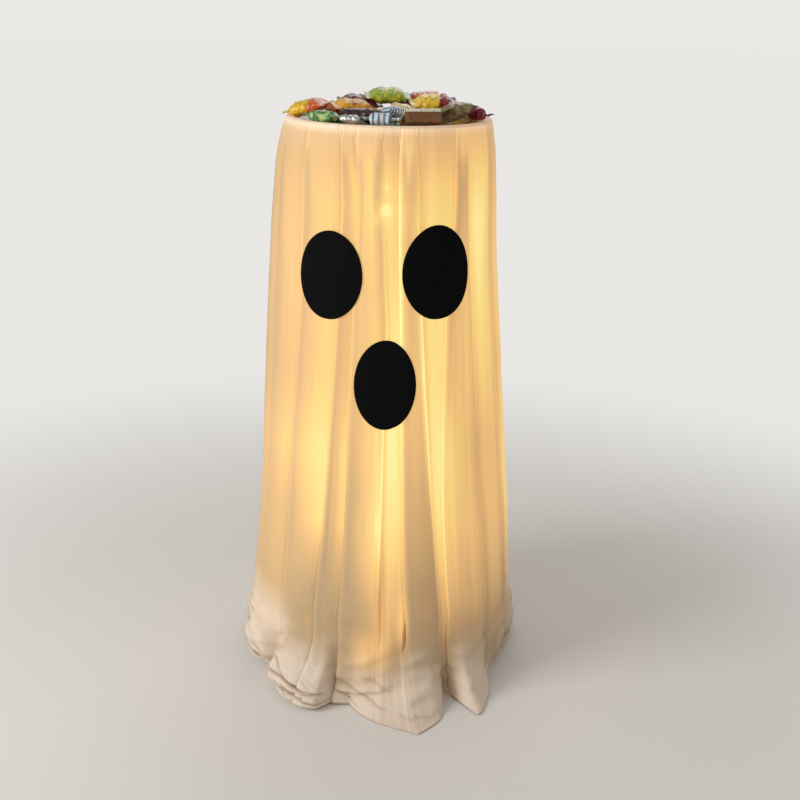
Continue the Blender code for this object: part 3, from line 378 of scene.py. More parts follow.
# Ghost sheet: a 90-inch round of thin cotton voile. Its middle is pressed into the bowl, it bends
# over the rim, hangs in 20 lapped folds and its hem lies in puddles and tucked rolls on the floor.
# Each fold: the side that lies in front, +1 the cloth to its right and -1 to its left, how far the
# other side goes under it, and its edge as (height, angle).
folds = (
    (+1, 0.020, ((0.0, -87), (0.88, -84))),
    (+1, 0.016, ((0.0, -70), (0.88, -66))),
    (
        +1, 0.020,
        (
            (0.14, -48.3), (0.31, -46.9), (0.51, -45.4), (0.63, -44.0), (0.71, -44.3), (0.78, -44.8),
            (0.88, -47.5)
        )
    ),
    (
        +1, 0.026,
        (
            (0.12, -30.0), (0.19, -29.2), (0.27, -27.1), (0.37, -25.6), (0.46, -24.7), (0.6, -23.3),
            (0.77, -22.3), (0.83, -23.9), (0.88, -25.6)
        )
    ),
    (
        +1, 0.018,
        (
            (0.06, -18.6), (0.16, -18.1), (0.28, -16.9), (0.45, -16.2), (0.62, -15.6), (0.73, -14.2),
            (0.8, -14.4), (0.845, -16.8), (0.88, -18.3)
        )
    ),
    (
        -1, 0.018,
        ((0.24, -0.6), (0.45, -0.1), (0.6, 0.9), (0.65, -0.2), (0.72, -1.1), (0.78, -2.5), (0.86, -3.4))
    ),
    (
        +1, 0.024,
        (
            (0.1, 10.3), (0.16, 9.5), (0.24, 8.4), (0.34, 7.8), (0.45, 7.2), (0.61, 6.4), (0.72, 5.4),
            (0.85, 5.0)
        )
    ),
    (
        -1, 0.022,
        (
            (0.045, 27.4), (0.13, 25.8), (0.2, 24.4), (0.29, 22.6), (0.34, 21.4), (0.4, 20.3), (0.49, 19.0),
            (0.56, 17.9), (0.61, 17.0), (0.74, 15.0), (0.88, 14.5)
        )
    ),
    (
        +1, 0.020,
        (
            (0.04, 31.0), (0.2, 28.0), (0.3, 26.8), (0.34, 26.6), (0.43, 26.6), (0.5, 27.5), (0.6, 29.0),
            (0.76, 34.8), (0.875, 35.9)
        )
    ),
    (
        -1, 0.020,
        (
            (0.08, 51.8), (0.155, 51.6), (0.25, 50.2), (0.32, 48.8), (0.38, 48.1), (0.48, 47.4),
            (0.62, 46.6), (0.73, 45.0), (0.86, 44.0)
        )
    ),
    (-1, 0.016, ((0.0, 69), (0.88, 65))),
    (+1, 0.020, ((0.0, 97), (0.88, 91))),
    (-1, 0.026, ((0.0, 113), (0.88, 107))),
    (+1, 0.040, ((0.0, 120), (0.88, 117))),
    (+1, 0.044, ((0.0, 141), (0.88, 137))),
    (-1, 0.036, ((0.0, 158), (0.88, 161))),
    (+1, 0.044, ((0.0, 184), (0.88, 181))),
    (-1, 0.036, ((0.0, 204), (0.88, 207))),
    (+1, 0.040, ((0.0, 231), (0.88, 227))),
    (-1, 0.036, ((0.0, 250), (0.88, 253))),
)
# control points of a fold's pocket, and of the pocket and the panel beside it
pocket_points, fold_span = 12, 16
column_at = []
for index, (lap, _, _) in enumerate(folds):
    pocket = np.array((0, 1, 2, 3, 4.5, 6, 7, 8, 9, 9.6, 10.2, 10.8))
    front = 1 <= index <= 10
    panel = np.linspace(11.4, 15.6, 15 if front else 7)
    column_at += [
        fold_span * index + place for place in (*(pocket if lap > 0 else 11 - pocket[::-1]), *panel)
    ]
column_at = np.array(column_at)
# the two middle folds of the front fade out near the floor, where their cloth spreads
spread_out = {5: ((0.10, 0.34), (0.0, 1.0)), 6: ((0.10, 0.16), (0.0, 1.0))}
# the outline's radius at each side, at heights up to the rim
outline_heights = (
    0, 0.057, 0.113, 0.169, 0.223, 0.277, 0.329, 0.381, 0.432, 0.482, 0.532, 0.58, 0.628, 0.675, 0.722,
    0.767, 0.812, 0.834, 0.856, 0.868, 0.8763
)
outline_left = (
    0.224, 0.222, 0.216, 0.209, 0.204, 0.200, 0.198, 0.195, 0.193, 0.190, 0.188, 0.186, 0.184, 0.181, 0.179,
    0.1755, 0.1715, 0.168, 0.163, 0.1585, 0.1545
)
outline_right = (
    0.226, 0.223, 0.216, 0.211, 0.208, 0.205, 0.200, 0.196, 0.192, 0.187, 0.183, 0.178, 0.174, 0.170, 0.168,
    0.1665, 0.164, 0.162, 0.1585, 0.1565, 0.1545
)


def outline_radius(angle, height):
    """The sheet's outer radius: each side's outline, blended round."""
    left = np.interp(height, outline_heights, outline_left)
    right_side = np.interp(height, outline_heights, outline_right)
    return (left + right_side) / 2 + (right_side - left) / 2 * np.sin(angle)


def cross_section(height, depth, open_share, at_height):
    """The folds at a height as control points: (angle, depth inside the outline)."""
    radius = 0.17 + 0.04 * (0.85 - height)
    edges = np.array([np.interp(height, *zip(*line)) for _, _, line in folds])
    nexts = np.append(edges[1:], edges[0] + 360)
    widths = np.radians(nexts - edges) * radius
    control = []
    for index, (lap, lean, _) in enumerate(folds):
        width = widths[index - 1] if lap < 0 else widths[index]
        near = (widths[index] + widths[index - 1]) / 2
        deep = depth * math.sqrt(min(near / 0.075, 1.0))
        opened = open_share
        if index in spread_out:
            opened = open_share * float(np.interp(at_height, *spread_out[index]))
        lean = min(lean * (0.35 + 0.65 * opened), 0.75 * width) * (0.4 + 0.6 * min(deep / 0.03, 1))
        under = (0.0035 + 0.0015 * math.sin(2.3 * index)) * open_share
        pocket = [
            (0.0020, under + 0.0010),
            (0.25 * lean, under + 0.0030 + 0.08 * deep),
            (0.62 * lean, 0.45 * deep + 0.0040),
            (0.88 * lean - 0.002, 0.80 * deep),
            (lean - 0.004, deep),
            (lean + 0.005, deep - 0.002),
            (lean + 0.002, 0.72 * deep),
            (0.70 * lean, 0.34 * deep),
            (0.30 * lean, 0.0022 + 0.05 * deep),
            (0.0010, 0.0020),
            (-0.0012, 0.0003),
            (0.0035, -0.0004),
        ]
        spread = np.linspace(-0.006, 0.006, pocket_points)
        across = np.array([p[0] for p in pocket]) * opened + spread * (1 - opened)
        inward = np.array([p[1] for p in pocket]) * opened
        if lap < 0:
            across, inward = -across[::-1], inward[::-1]
        control += [(edges[index] + math.degrees(a / radius), q) for a, q in zip(across, inward)]
        left_under = under if lap < 0 else 0.0
        right_lap = folds[(index + 1) % len(folds)][0]
        right_under = (
            (0.0035 + 0.0015 * math.sin(2.3 * ((index + 1) % len(folds)))) * open_share if right_lap > 0
            else 0.0
        )
        for share in (0.22, 0.46, 0.70, 0.92):
            swell = 0.0022 * math.sin(math.pi * share) * open_share * min(widths[index] / 0.05, 1)
            inward = left_under + (right_under - left_under) * share - swell
            control.append((edges[index] + (nexts[index] - edges[index]) * share, inward))
    return np.array(control)



def follow(control, at):
    """Points of the closed, uniform cubic B-spline through the control points."""
    count = len(control)
    step = np.floor(at).astype(int)
    t = (at - step)[:, None]
    weights = ((1 - t) ** 3, 3 * t**3 - 6 * t**2 + 4, 3 * (t + t**2 - t**3) + 1, t**3)
    found = 0
    for k, weight in enumerate(weights):
        index = step - 1 + k
        points = control[index % count].copy()
        points[:, 0] += 360 * np.floor_divide(index, count)
        found = found + weight / 6 * points
    return found


row_points = []
# The bowl's lining: from the bowl's middle up its wall and over the flange's rounded edge.
lining = [
    (0.0100, 0.8323), (0.050, 0.8323), (0.0865, 0.8325), (0.0915, 0.8350), (0.114, 0.8536),
    (0.1370, 0.8716), (0.1425, 0.8770), (0.1475, 0.8779), (0.1522, 0.8778), (0.1540, 0.8770),
    (0.1545, 0.8760),
]
top_columns = follow(cross_section(0.8763, 0.0, 0.0, 0.8763), column_at)
for radius, height in lining:
    angle = np.radians(top_columns[:, 0])
    pleat = 0.0006 * np.sin(angle * 44 + 3 * np.sin(angle * 5)) * min(radius / 0.12, 1) * (radius < 0.139)
    row_points.append(np.stack([radius * np.sin(angle), -radius * np.cos(angle), height + pleat], 1))
depth_heights = (0.0, 0.072, 0.2, 0.4, 0.616, 0.8, 0.845, 0.862, 0.8763)
depth_values = (0.074, 0.078, 0.079, 0.062, 0.038, 0.0150, 0.007, 0.003, 0.0)
skirt_heights = np.concatenate(
    [(0.8735, 0.869, 0.863, 0.856, 0.847, 0.836, 0.823, 0.810), np.linspace(0.795, 0.140, 27)]
)
for height in skirt_heights:
    open_share = float(np.interp(height, (0.80, 0.84, 0.865, 0.8763), (1.0, 0.82, 0.35, 0.0)))
    depth = float(np.interp(height, depth_heights, depth_values))
    section = follow(cross_section(height, depth, open_share, height), column_at)
    angle = np.radians(section[:, 0])
    ripple = (
        0.0011 * np.sin(11 * angle + 2.2 * math.sin(7 * height)) * np.sin(5 * angle - 9 * height)
        * open_share
    )
    radius = outline_radius(angle, height) - section[:, 1] + ripple
    row_points.append(
        np.stack([radius * np.sin(angle), -radius * np.cos(angle), np.full(len(angle), height)], 1)
    )

# The puddle: below 140 mm the cloth turns out over the floor, as a spread hem, a roll that is tucked
# under, or cloth that just hangs. Each line gives an angle and the cloth's way
# down there, as its radii and its heights in millimetres.
ways_down = (
    (-180, (214, 220, 231, 249, 268, 281, 287), (112, 82, 52, 26, 10, 3, 1.5)),
    (-155, (218, 232, 244, 246, 238, 224, 205), (112, 86, 58, 32, 10, 3, 1.5)),
    (-130, (214, 221, 230, 238, 246, 250, 252), (112, 82, 52, 28, 10, 3, 1.5)),
    (-112, (214, 220, 227, 229, 225, 212, 194), (112, 88, 64, 38, 14, 3, 1.5)),
    (-98, (216, 219, 222, 223, 219, 208, 192), (114, 96, 70, 42, 16, 3, 1.5)),
    (-80, (215, 217, 228, 233, 224, 208, 187), (113, 94, 74, 44, 16, 3, 1.5)),
    (-64, (213, 217, 240, 243, 229, 208, 186), (113, 96, 78, 40, 12, 3, 1.5)),
    (-56, (211, 216, 236, 236, 219, 201, 182), (112, 90, 68, 36, 10, 3, 1.5)),
    (-51, (211, 210, 210, 207, 202, 196, 182), (112, 82, 54, 30, 12, 4, 1.5)),
    (-47, (210, 211, 214, 238, 250, 238, 210), (112, 86, 64, 52, 26, 6, 1.5)),
    (-41, (210, 213, 224, 252, 252, 256, 226), (112, 86, 68, 50, 28, 10, 1.5)),
    (-33, (210, 215, 229, 259, 259, 276, 250), (112, 86, 64, 42, 26, 11, 1.5)),
    (-26, (209, 214, 228, 256, 260, 277, 252), (112, 84, 60, 36, 24, 10, 1.5)),
    (-22.5, (208, 213, 226, 252, 258, 274, 252), (112, 84, 60, 36, 24, 10, 1.5)),
    (-19.5, (208, 210, 214, 222, 230, 238, 232), (112, 82, 54, 30, 18, 10, 1.5)),
    (-12, (208, 210, 214, 219, 222, 224, 222), (112, 82, 54, 30, 14, 5, 1.5)),
    (-6, (208, 211, 218, 229, 240, 247, 250), (112, 82, 54, 28, 11, 3, 1.5)),
    (0, (208, 211, 219, 234, 252, 266, 273), (112, 82, 54, 28, 10, 3, 1.5)),
    (11, (208, 212, 222, 242, 268, 292, 307), (112, 84, 56, 28, 10, 3, 1.5)),
    (20, (209, 213, 222, 237, 254, 266, 272), (112, 84, 56, 30, 11, 3, 1.5)),
    (25, (210, 212, 216, 222, 228, 232, 234), (112, 84, 58, 34, 14, 4, 1.5)),
    (28, (210, 210, 209, 208, 207, 206, 206), (112, 86, 60, 38, 20, 10, 4)),
    (31, (210, 211, 212, 214, 217, 219, 220), (112, 86, 60, 38, 20, 8, 3)),
    (36, (211, 215, 225, 243, 264, 282, 293), (112, 86, 58, 32, 12, 4, 2)),
    (42, (211, 214, 222, 234, 247, 256, 260), (112, 86, 58, 32, 12, 4, 2)),
    (50, (212, 213, 216, 220, 224, 227, 228), (112, 86, 58, 34, 15, 6, 3)),
    (60, (212, 214, 214, 213, 211, 206, 200), (112, 84, 58, 34, 15, 6, 3)),
    (74, (213, 217, 219, 218, 213, 204, 190), (112, 84, 58, 34, 14, 4, 1.5)),
    (87, (214, 221, 226, 227, 222, 208, 190), (112, 84, 58, 34, 12, 3, 1.5)),
    (110, (214, 222, 232, 238, 240, 238, 234), (112, 84, 56, 30, 10, 3, 1.5)),
    (135, (216, 230, 244, 248, 240, 224, 205), (112, 88, 60, 34, 11, 3, 1.5)),
    (160, (213, 220, 228, 236, 242, 244, 244), (112, 84, 56, 30, 10, 3, 1.5)),
    (180, (214, 220, 231, 249, 268, 281, 287), (112, 82, 52, 26, 10, 3, 1.5)),
)
way_angles = [way[0] for way in ways_down]
# where the puddle starts, and how far apart the spline's points lie above that
puddle_start, puddle_step = 0.140, 0.028
# rows of the mesh, closest where the rolls are creased
puddle_shares = np.concatenate(
    [np.linspace(0, 0.30, 11)[1:], np.linspace(0.30, 0.86, 39)[1:], np.linspace(0.86, 1, 7)[1:]]
)
# Creases of the rolls: (first and last angle, share of the way down at each, how deep, how wide)
creases = (
    (-106, -53, 0.50, 0.66, 0.0120, 0.016),
    (-97, -55, 0.40, 0.57, 0.0100, 0.014),
    (-90, -52, 0.70, 0.58, 0.0100, 0.015),
    (-84, -60, 0.33, 0.46, 0.0050, 0.018),
    (-74, -54, 0.46, 0.74, 0.0080, 0.014),
    (-96, -72, 0.60, 0.46, 0.0080, 0.014),
    (-50, -21, 0.655, 0.685, 0.0150, 0.016),
    (-49, -36, 0.50, 0.62, 0.0070, 0.014),
    (-47, -26, 0.83, 0.74, 0.0100, 0.014),
    (-38, -19, 0.72, 0.84, 0.0090, 0.013),
    (-44, -30, 0.74, 0.86, 0.0070, 0.013),
    (-18, 4, 0.52, 0.70, 0.0045, 0.015),
    (-14, 2, 0.68, 0.54, 0.0035, 0.015),
    (-20, -6, 0.60, 0.84, 0.0050, 0.014),
    (-8, 6, 0.44, 0.56, 0.0030, 0.016),
    (6, 20, 0.72, 0.84, 0.0030, 0.026),
    (74, 100, 0.55, 0.66, 0.0070, 0.018),
    (68, 92, 0.68, 0.52, 0.0050, 0.016),
    (120, 150, 0.55, 0.66, 0.0080, 0.020),
    (-168, -140, 0.64, 0.56, 0.0080, 0.020),
)
puddle_crease_shade = []
for share in puddle_shares:
    height = puddle_start * (1 - share)
    depth = max(float(np.interp(height, depth_heights, depth_values)) * (1 - share**2) ** 0.8, 0.004)
    section = follow(cross_section(height * 0.6 + 0.05, depth, 1.0, height), column_at)
    degrees = (section[:, 0] + 180) % 360 - 180
    angle = np.radians(
        section[:, 0] + np.interp(degrees, (28, 31, 36, 42, 50), (0, -0.5, -4.5, -2, 0)) * share**2
    )
    step = min(int(share * 7), 6)
    t = share * 7 - step
    weights = np.array([(1 - t) ** 3, 3 * t**3 - 6 * t**2 + 4, 3 * (t + t**2 - t**3) + 1, t**3]) / 6
    radius, level_z = 0, 0
    for weight, k in zip(weights, range(step - 1, step + 3)):
        if k < 1:
            at_z = puddle_start - puddle_step * k
            at_r = outline_radius(angle, at_z)
        else:
            at_r, at_z = (
                np.interp(degrees, way_angles, [way[axis][min(k, 7) - 1] * 0.001 for way in ways_down])
                for axis in (1, 2)
            )
        radius = radius + weight * at_r
        level_z = level_z + weight * at_z
    crease_shade = 0
    for first, last, at_first, at_last, deep, wide in creases:
        along = np.clip((degrees - first) / (last - first), 0, 1)
        line = at_first + (at_last - at_first) * along + 0.012 * np.sin(9 * along + 40 * deep)
        cut = deep * np.sin(math.pi * along) ** 0.5 * np.exp(-(((share - line) / wide) ** 2))
        radius = radius - cut
        level_z = level_z - cut * 0.4
        crease_shade = crease_shade + cut / 0.011
    crumple = (
        np.sin(17 * angle + 26 * share + 2 * np.sin(7 * angle)) * np.sin(9 * angle - 21 * share)
        + 0.6 * (1 - 2 * np.abs(np.sin(8 * angle + 13 * share)))
    )
    pressed = (
        np.interp(degrees, (-46, -43, -26, -23), (0, 0.75, 0.75, 0))
        * np.interp(share, (0.30, 0.38, 0.60, 0.66), (0, 1, 1, 0))
    )
    radius = (
        radius - section[:, 1]
        + 0.0028 * crumple * (1 - pressed) * math.sin(math.pi * min(share, 0.92)) ** 1.5
    )
    row_points.append(
        np.stack([radius * np.sin(angle), -radius * np.cos(angle), np.maximum(level_z, 0.0011)], 1)
    )
    puddle_crease_shade.append(np.minimum(crease_shade, 1))

rows = np.array(row_points)
row_count, column_count = rows.shape[:2]
columns = np.arange(column_count)
beside = (columns + 1) % column_count
quads = np.concatenate(
    [
        np.stack(
            [
                r * column_count + columns, (r + 1) * column_count + columns,
                (r + 1) * column_count + beside, r * column_count + beside
            ],
            1
        )
        for r in range(row_count - 1)
    ]
)
vertices = np.concatenate([rows.reshape(-1, 3), [[0, 0, 0.8323]]])
middle = len(vertices) - 1
faces = quads.tolist() + [(middle, c, (c + 1) % column_count) for c in range(column_count)]
sheet_mesh = bpy.data.meshes.new("ghost_sheet_cloth")
sheet_mesh.from_pydata(vertices.tolist(), [], faces)
sheet_mesh.shade_smooth()
# the cloth's own measures as UV: metres round it at its middle, and metres from its centre
cloth_round = 3.6
row_flat = 0.01 + np.append(0, np.sqrt(((rows[1:] - rows[:-1]) ** 2).sum(2)).mean(1)).cumsum()
corners = np.array([loop.vertex_index for loop in sheet_mesh.loops])
faces_of = np.repeat(np.arange(len(faces)), [len(face) for face in faces])
turned = (faces_of % column_count == column_count - 1) & (corners % column_count == 0)
flat_u = (
    np.where(corners == middle, faces_of % column_count, corners % column_count + column_count * turned)
    / column_count * cloth_round
)
flat_v = np.append(np.repeat(row_flat, column_count), 0.0)[corners]
sheet_mesh.uv_layers.new(name="flat").data.foreach_set("uv", np.stack([flat_u, flat_v], 1).reshape(-1))

# The light that comes through at each point: the lamps and the lit inside, dimmed by each fold that
# stands between. A level section of the folds stands for the folds at its height.
# the share of the light that each layer lets through, the distance that keeps a lamp on the cloth from
# being endlessly bright, how far above or below a lamp its light is reckoned, and the lit inside's radius
layer_pass, lamp_blur, lamp_reach, inside_radius = 0.66, 0.045, 0.35, 0.07
# how bright the lamps' own light and the lit inside look, and both together
direct_level, inside_level, glow_level = 0.55, 0.62, 1.15
first_skirt, last_skirt = len(lining), len(lining) + len(skirt_heights) - 1
turn = np.radians(np.arange(0, 360, 30))
inside = inside_radius * np.stack([np.sin(turn), -np.cos(turn)], 1)
sources = np.concatenate([lamp_places[:, :2], inside]).astype(np.float32)
passed = np.zeros((row_count, len(sources), column_count), np.float32)
for r in [*range(first_skirt, last_skirt, 2), last_skirt]:
    start = rows[r][:, :2].astype(np.float32)
    along = np.roll(start, -1, 0) - start
    for number, source in enumerate(sources):
        is_lamp = number < len(lamp_places)
        if is_lamp and r < last_skirt and abs(lamp_places[number, 2] - rows[r][0, 2]) > lamp_reach:
            continue
        ray = source - start
        offset = start[None] - start[:, None]
        cross = ray[:, None, 0] * along[None, :, 1] - ray[:, None, 1] * along[None, :, 0]
        cross = np.where(np.abs(cross) < 1e-12, 1e-12, cross)
        t = (offset[..., 0] * along[None, :, 1] - offset[..., 1] * along[None, :, 0]) / cross
        s = (offset[..., 0] * ray[:, None, 1] - offset[..., 1] * ray[:, None, 0]) / cross
        passed[r, number] = layer_pass ** ((t > 0.02) & (t < 1) & (s >= 0) & (s < 1)).sum(1)
for r in range(first_skirt + 1, last_skirt, 2):
    passed[r] = (passed[r - 1] + passed[min(r + 1, last_skirt)]) / 2
passed[last_skirt + 1 :] = passed[last_skirt]
distance = ((rows[:, None] - lamp_places[None, :, None]) ** 2).sum(3)
direct = (passed[:, : len(lamp_places)] / (distance + lamp_blur**2)).sum(1)
bounced = passed[:, len(lamp_places) :].mean(1)
glow = direct_level * direct / np.percentile(direct[first_skirt:last_skirt], 95) + inside_level * bounced
# The gathers hide more cloth behind the front panels: layers at each panel's left and right, at six
# heights, from the left side round to the right. Less than none is where a panel is stretched thin.
layer_heights = (0.17, 0.29, 0.40, 0.52, 0.76, 0.85)
layers_behind = (
    ((0.4, 0.2), (1.2, 1.2), (1.2, 1.2), (2.2, 2.0), (2.0, 1.4), (1.2, 0.8)),
    ((0.2, 0.4), (1.2, 1.0), (1.2, 0.5), (1.9, 1.3), (1.1, 0.4), (0.9, 0.3)),
    ((0.6, 1.8), (1.3, -0.6), (0.6, -0.1), (1.2, 0.5), (0.3, 0.6), (0.3, 0.4)),
    ((2.4, 0.0), (1.2, -1.1), (0.9, -0.9), (0.7, 0.4), (0.3, 0.5), (0.4, 0.2)),
    ((2.0, -0.2), (1.7, -1.6), (0.8, -0.9), (0.2, -0.6), (0.2, 0.0), (0.3, 0.2)),
    ((0.2, -0.4), (0.1, -0.2), (0.1, 0.2), (0.2, 0.2), (0.4, 1.1), (0.4, 0.6)),
    ((0.5, 0.3), (0.2, -0.2), (-0.2, -0.9), (-0.8, -1.9), (-1.2, -0.7), (-0.2, -0.1)),
    ((-0.1, -0.8), (-0.1, -0.4), (0.2, -0.1), (0.4, 0.2), (0.2, 0.2), (0.2, 0.0)),
    ((-1.0, -0.4), (-0.7, 0.2), (-0.6, 0.9), (0.0, -0.2), (-0.2, -1.4), (-0.2, -0.7)),
    ((-0.3, -0.4), (0.5, 0.2), (1.2, 0.4), (0.4, 0.1), (-0.6, -0.3), (-0.5, -0.3)),
    ((0.1, 0.1), (0.3, 0.4), (0.6, 1.1), (0.9, 1.3), (0.4, 0.9), (0.2, 0.4)),
)
panels = list(layers_behind)
for index in range(len(layers_behind), len(folds)):
    panels.append(((0.4 + 0.5 * math.sin(2.1 * index), 0.4 + 0.5 * math.cos(1.3 * index)),) * 6)
places, amounts = [], []
for index, panel in enumerate(panels):
    places += [fold_span * index + place for place in (3, 8, 11.4, 15.6)]
    before = panels[index - 1]
    amounts.append([(before[k][1], panel[k][0], panel[k][0], panel[k][1]) for k in range(6)])
amounts = np.concatenate([np.array(found) for found in amounts], 1)
across = np.array(
    [np.interp(column_at, places, amount, period=fold_span * len(folds)) for amount in amounts]
)
heights_now = rows[:, 0, 2]
blend = np.array([np.interp(heights_now, layer_heights, np.eye(6)[k]) for k in range(6)])
extra = np.einsum("kr,kc->rc", blend, across)
# each fold's edge catches a thin line of light, and the cloth that goes under it is shaded
place = column_at % fold_span
fold_of = (column_at // fold_span).astype(int)
laps = np.array([lap for lap, _, _ in folds])
lap_at, next_lap = laps[fold_of], np.roll(laps, -1)[fold_of]
lip = np.where(lap_at > 0, np.exp(-(((place - 10.5) / 0.7) ** 2)), np.exp(-(((place - 0.5) / 0.7) ** 2)))
shaded = (
    np.where((lap_at < 0) & (place > 4), np.clip((12.3 - place) / 0.9, 0, 1), 0)
    + np.where((lap_at > 0) & (place < 7), 1.0, 0)
)
shaded = shaded + np.where((next_lap > 0) & (place > 15.0), (place - 15.0) / 0.9, 0)
glints = (0.15, 0.15, 0.20, 0.24, 0.22, 0.06, 0.32, 0.22, 0.20, 0.14) + (0.15,) * (len(folds) - 10)
spread = np.interp(heights_now, (0.15, 0.25, 0.35, 0.80, 0.87), (1.3, 1.0, 0.7, 0.6, 0.1))[:, None]
glow = glow * layer_pass ** (extra + shaded * spread)
deep_angle = np.degrees(np.arctan2(rows[..., 0], -rows[..., 1]))
fade = np.interp(
    rows[..., 2], (0.0, 0.05, 0.08, 0.12, 0.17, 0.23, 0.29, 0.4, 0.5, 0.7, 0.8, 0.84, 0.865, 0.876),
    (0.0, 0.05, 0.16, 0.40, 0.70, 0.98, 1.16, 1.26, 1.16, 1.02, 0.90, 0.78, 0.68, 0.58)
)
glow = glow_level * glow * fade + lip * np.array(glints)[fold_of] * np.sqrt(fade)
# where the string lies close to the cloth: (angle, height, half width, half height, how bright)
for angle, height, wide, tall, bright in (
    (-5.5, 0.088, 0.030, 0.036, 0.56),
    (1.5, 0.130, 0.012, 0.060, 0.30),
    (8.6, 0.135, 0.008, 0.042, 0.50),
    (-33, 0.115, 0.010, 0.026, 0.16),
    (-3.5, 0.390, 0.024, 0.130, 0.13),
    (-4.5, 0.260, 0.018, 0.110, 0.24),
    (-2.5, 0.740, 0.016, 0.070, 0.08),
    (-34, 0.400, 0.014, 0.090, 0.12),
    (6.5, 0.600, 0.008, 0.080, 0.16),
):
    near = ((deep_angle - angle) * math.pi / 180 * 0.2 / wide) ** 2 + ((rows[..., 2] - height) / tall) ** 2
    glow = glow + bright * np.exp(-near)
# the lining glows only towards the flange's edge: painted light, so that the rim looks lit
glow[:first_skirt] = np.interp([radius for radius, _ in lining], (0.125, 0.145), (0.0, 0.32))[:, None]
# cloth that bulges out over the floor lies in layers, which look whiter
hanging = outline_radius(np.radians(deep_angle), 0.14)
bunched = (
    np.clip((np.hypot(rows[..., 0], rows[..., 1]) - hanging + 0.002) / 0.022, 0, 1)
    * np.clip((0.13 - rows[..., 2]) / 0.03, 0, 1)
)
bunched = np.maximum(bunched, np.clip((0.02 - rows[..., 2]) / 0.02, 0, 1))
bunched = np.maximum(bunched, np.interp(rows[..., 2], (0.83, 0.866, 0.873), (0.0, 0.2, 1.0)))
bunched[:first_skirt] = 1
left_roll = (
    np.interp(np.abs(deep_angle + 64), (14, 24), (0.85, 0.0))
    * np.interp(rows[..., 2], (0.10, 0.165), (1.0, 0.0))
)
bunched = np.maximum(bunched, left_roll)
crushed = bunched * np.interp(np.abs(deep_angle + 56), (30, 44), (1.0, 0.12))
# how deep the puddle's creases lie, for the painted shade that darkens them
crease_shade = np.zeros_like(bunched)
crease_shade[last_skirt + 1 :] = puddle_crease_shade
for name, amount in (("bunched", bunched), ("crushed", crushed), ("crease_shade", crease_shade)):
    layer = sheet_mesh.attributes.new(name, "FLOAT", "POINT")
    layer.data.foreach_set("value", np.append(amount.reshape(-1), 0.0).astype(np.float32))
layer = sheet_mesh.attributes.new("glow", "FLOAT", "POINT")
layer.data.foreach_set("value", np.append(glow.reshape(-1), 0.0).astype(np.float32))

# thin unbleached voile: warm where the light comes through, chalky where only daylight falls on it
voile, voile_nodes, voile_shader = new_material("cotton voile")
object_place = add_node(voile_nodes, "ShaderNodeTexCoord").outputs["Object"]
flat = add_node(voile_nodes, "ShaderNodeUVMap", uv_map="flat").outputs[0]
total = add_node(voile_nodes, "ShaderNodeAttribute", attribute_name="glow").outputs["Fac"]
# thin and thick threads show as faint streaks down the cloth
long_threads = add_node(voile_nodes, "ShaderNodeMapping", {"Vector": flat, "Scale": (60.0, 1.6, 1.0)})
streaks = add_node(
    voile_nodes, "ShaderNodeTexNoise",
    {"Vector": long_threads, "Scale": 1.0, "Detail": 4.0, "Roughness": 0.6}
)
streaks = add_node(
    voile_nodes, "ShaderNodeMapRange",
    {"Value": streaks, "From Min": 0.3, "From Max": 0.7, "To Min": 0.95, "To Max": 1.05}
)
total = add_node(voile_nodes, "ShaderNodeMath", {0: total, 1: streaks}, operation="MULTIPLY").outputs[0]
# single lamps that touch the cloth: (angle, height, reach, how bright)
for angle, height, reach, bright in (
    (-1.2, 0.764, 0.013, 0.9),
    (-1.2, 0.764, 0.030, 0.25),
    (-0.8, 0.796, 0.012, 0.35),
    (-4.5, 0.751, 0.016, 0.25),
    (6.6, 0.645, 0.008, 0.45),
):
    radius = float(outline_radius(math.radians(angle), height))
    lamp_place = (radius * math.sin(math.radians(angle)), -radius * math.cos(math.radians(angle)), height)
    far = add_node(
        voile_nodes, "ShaderNodeVectorMath", {0: object_place, 1: lamp_place}, operation="DISTANCE"
    )
    near = add_node(
        voile_nodes, "ShaderNodeMapRange",
        {"Value": far.outputs["Value"], "From Max": reach, "To Min": 1.0, "To Max": 0.0}
    )
    near = add_node(voile_nodes, "ShaderNodeMath", {0: near, 1: 2.0}, operation="POWER")
    total = add_node(
        voile_nodes, "ShaderNodeMath", {0: near, 1: bright, 2: total}, operation="MULTIPLY_ADD"
    ).outputs[0]
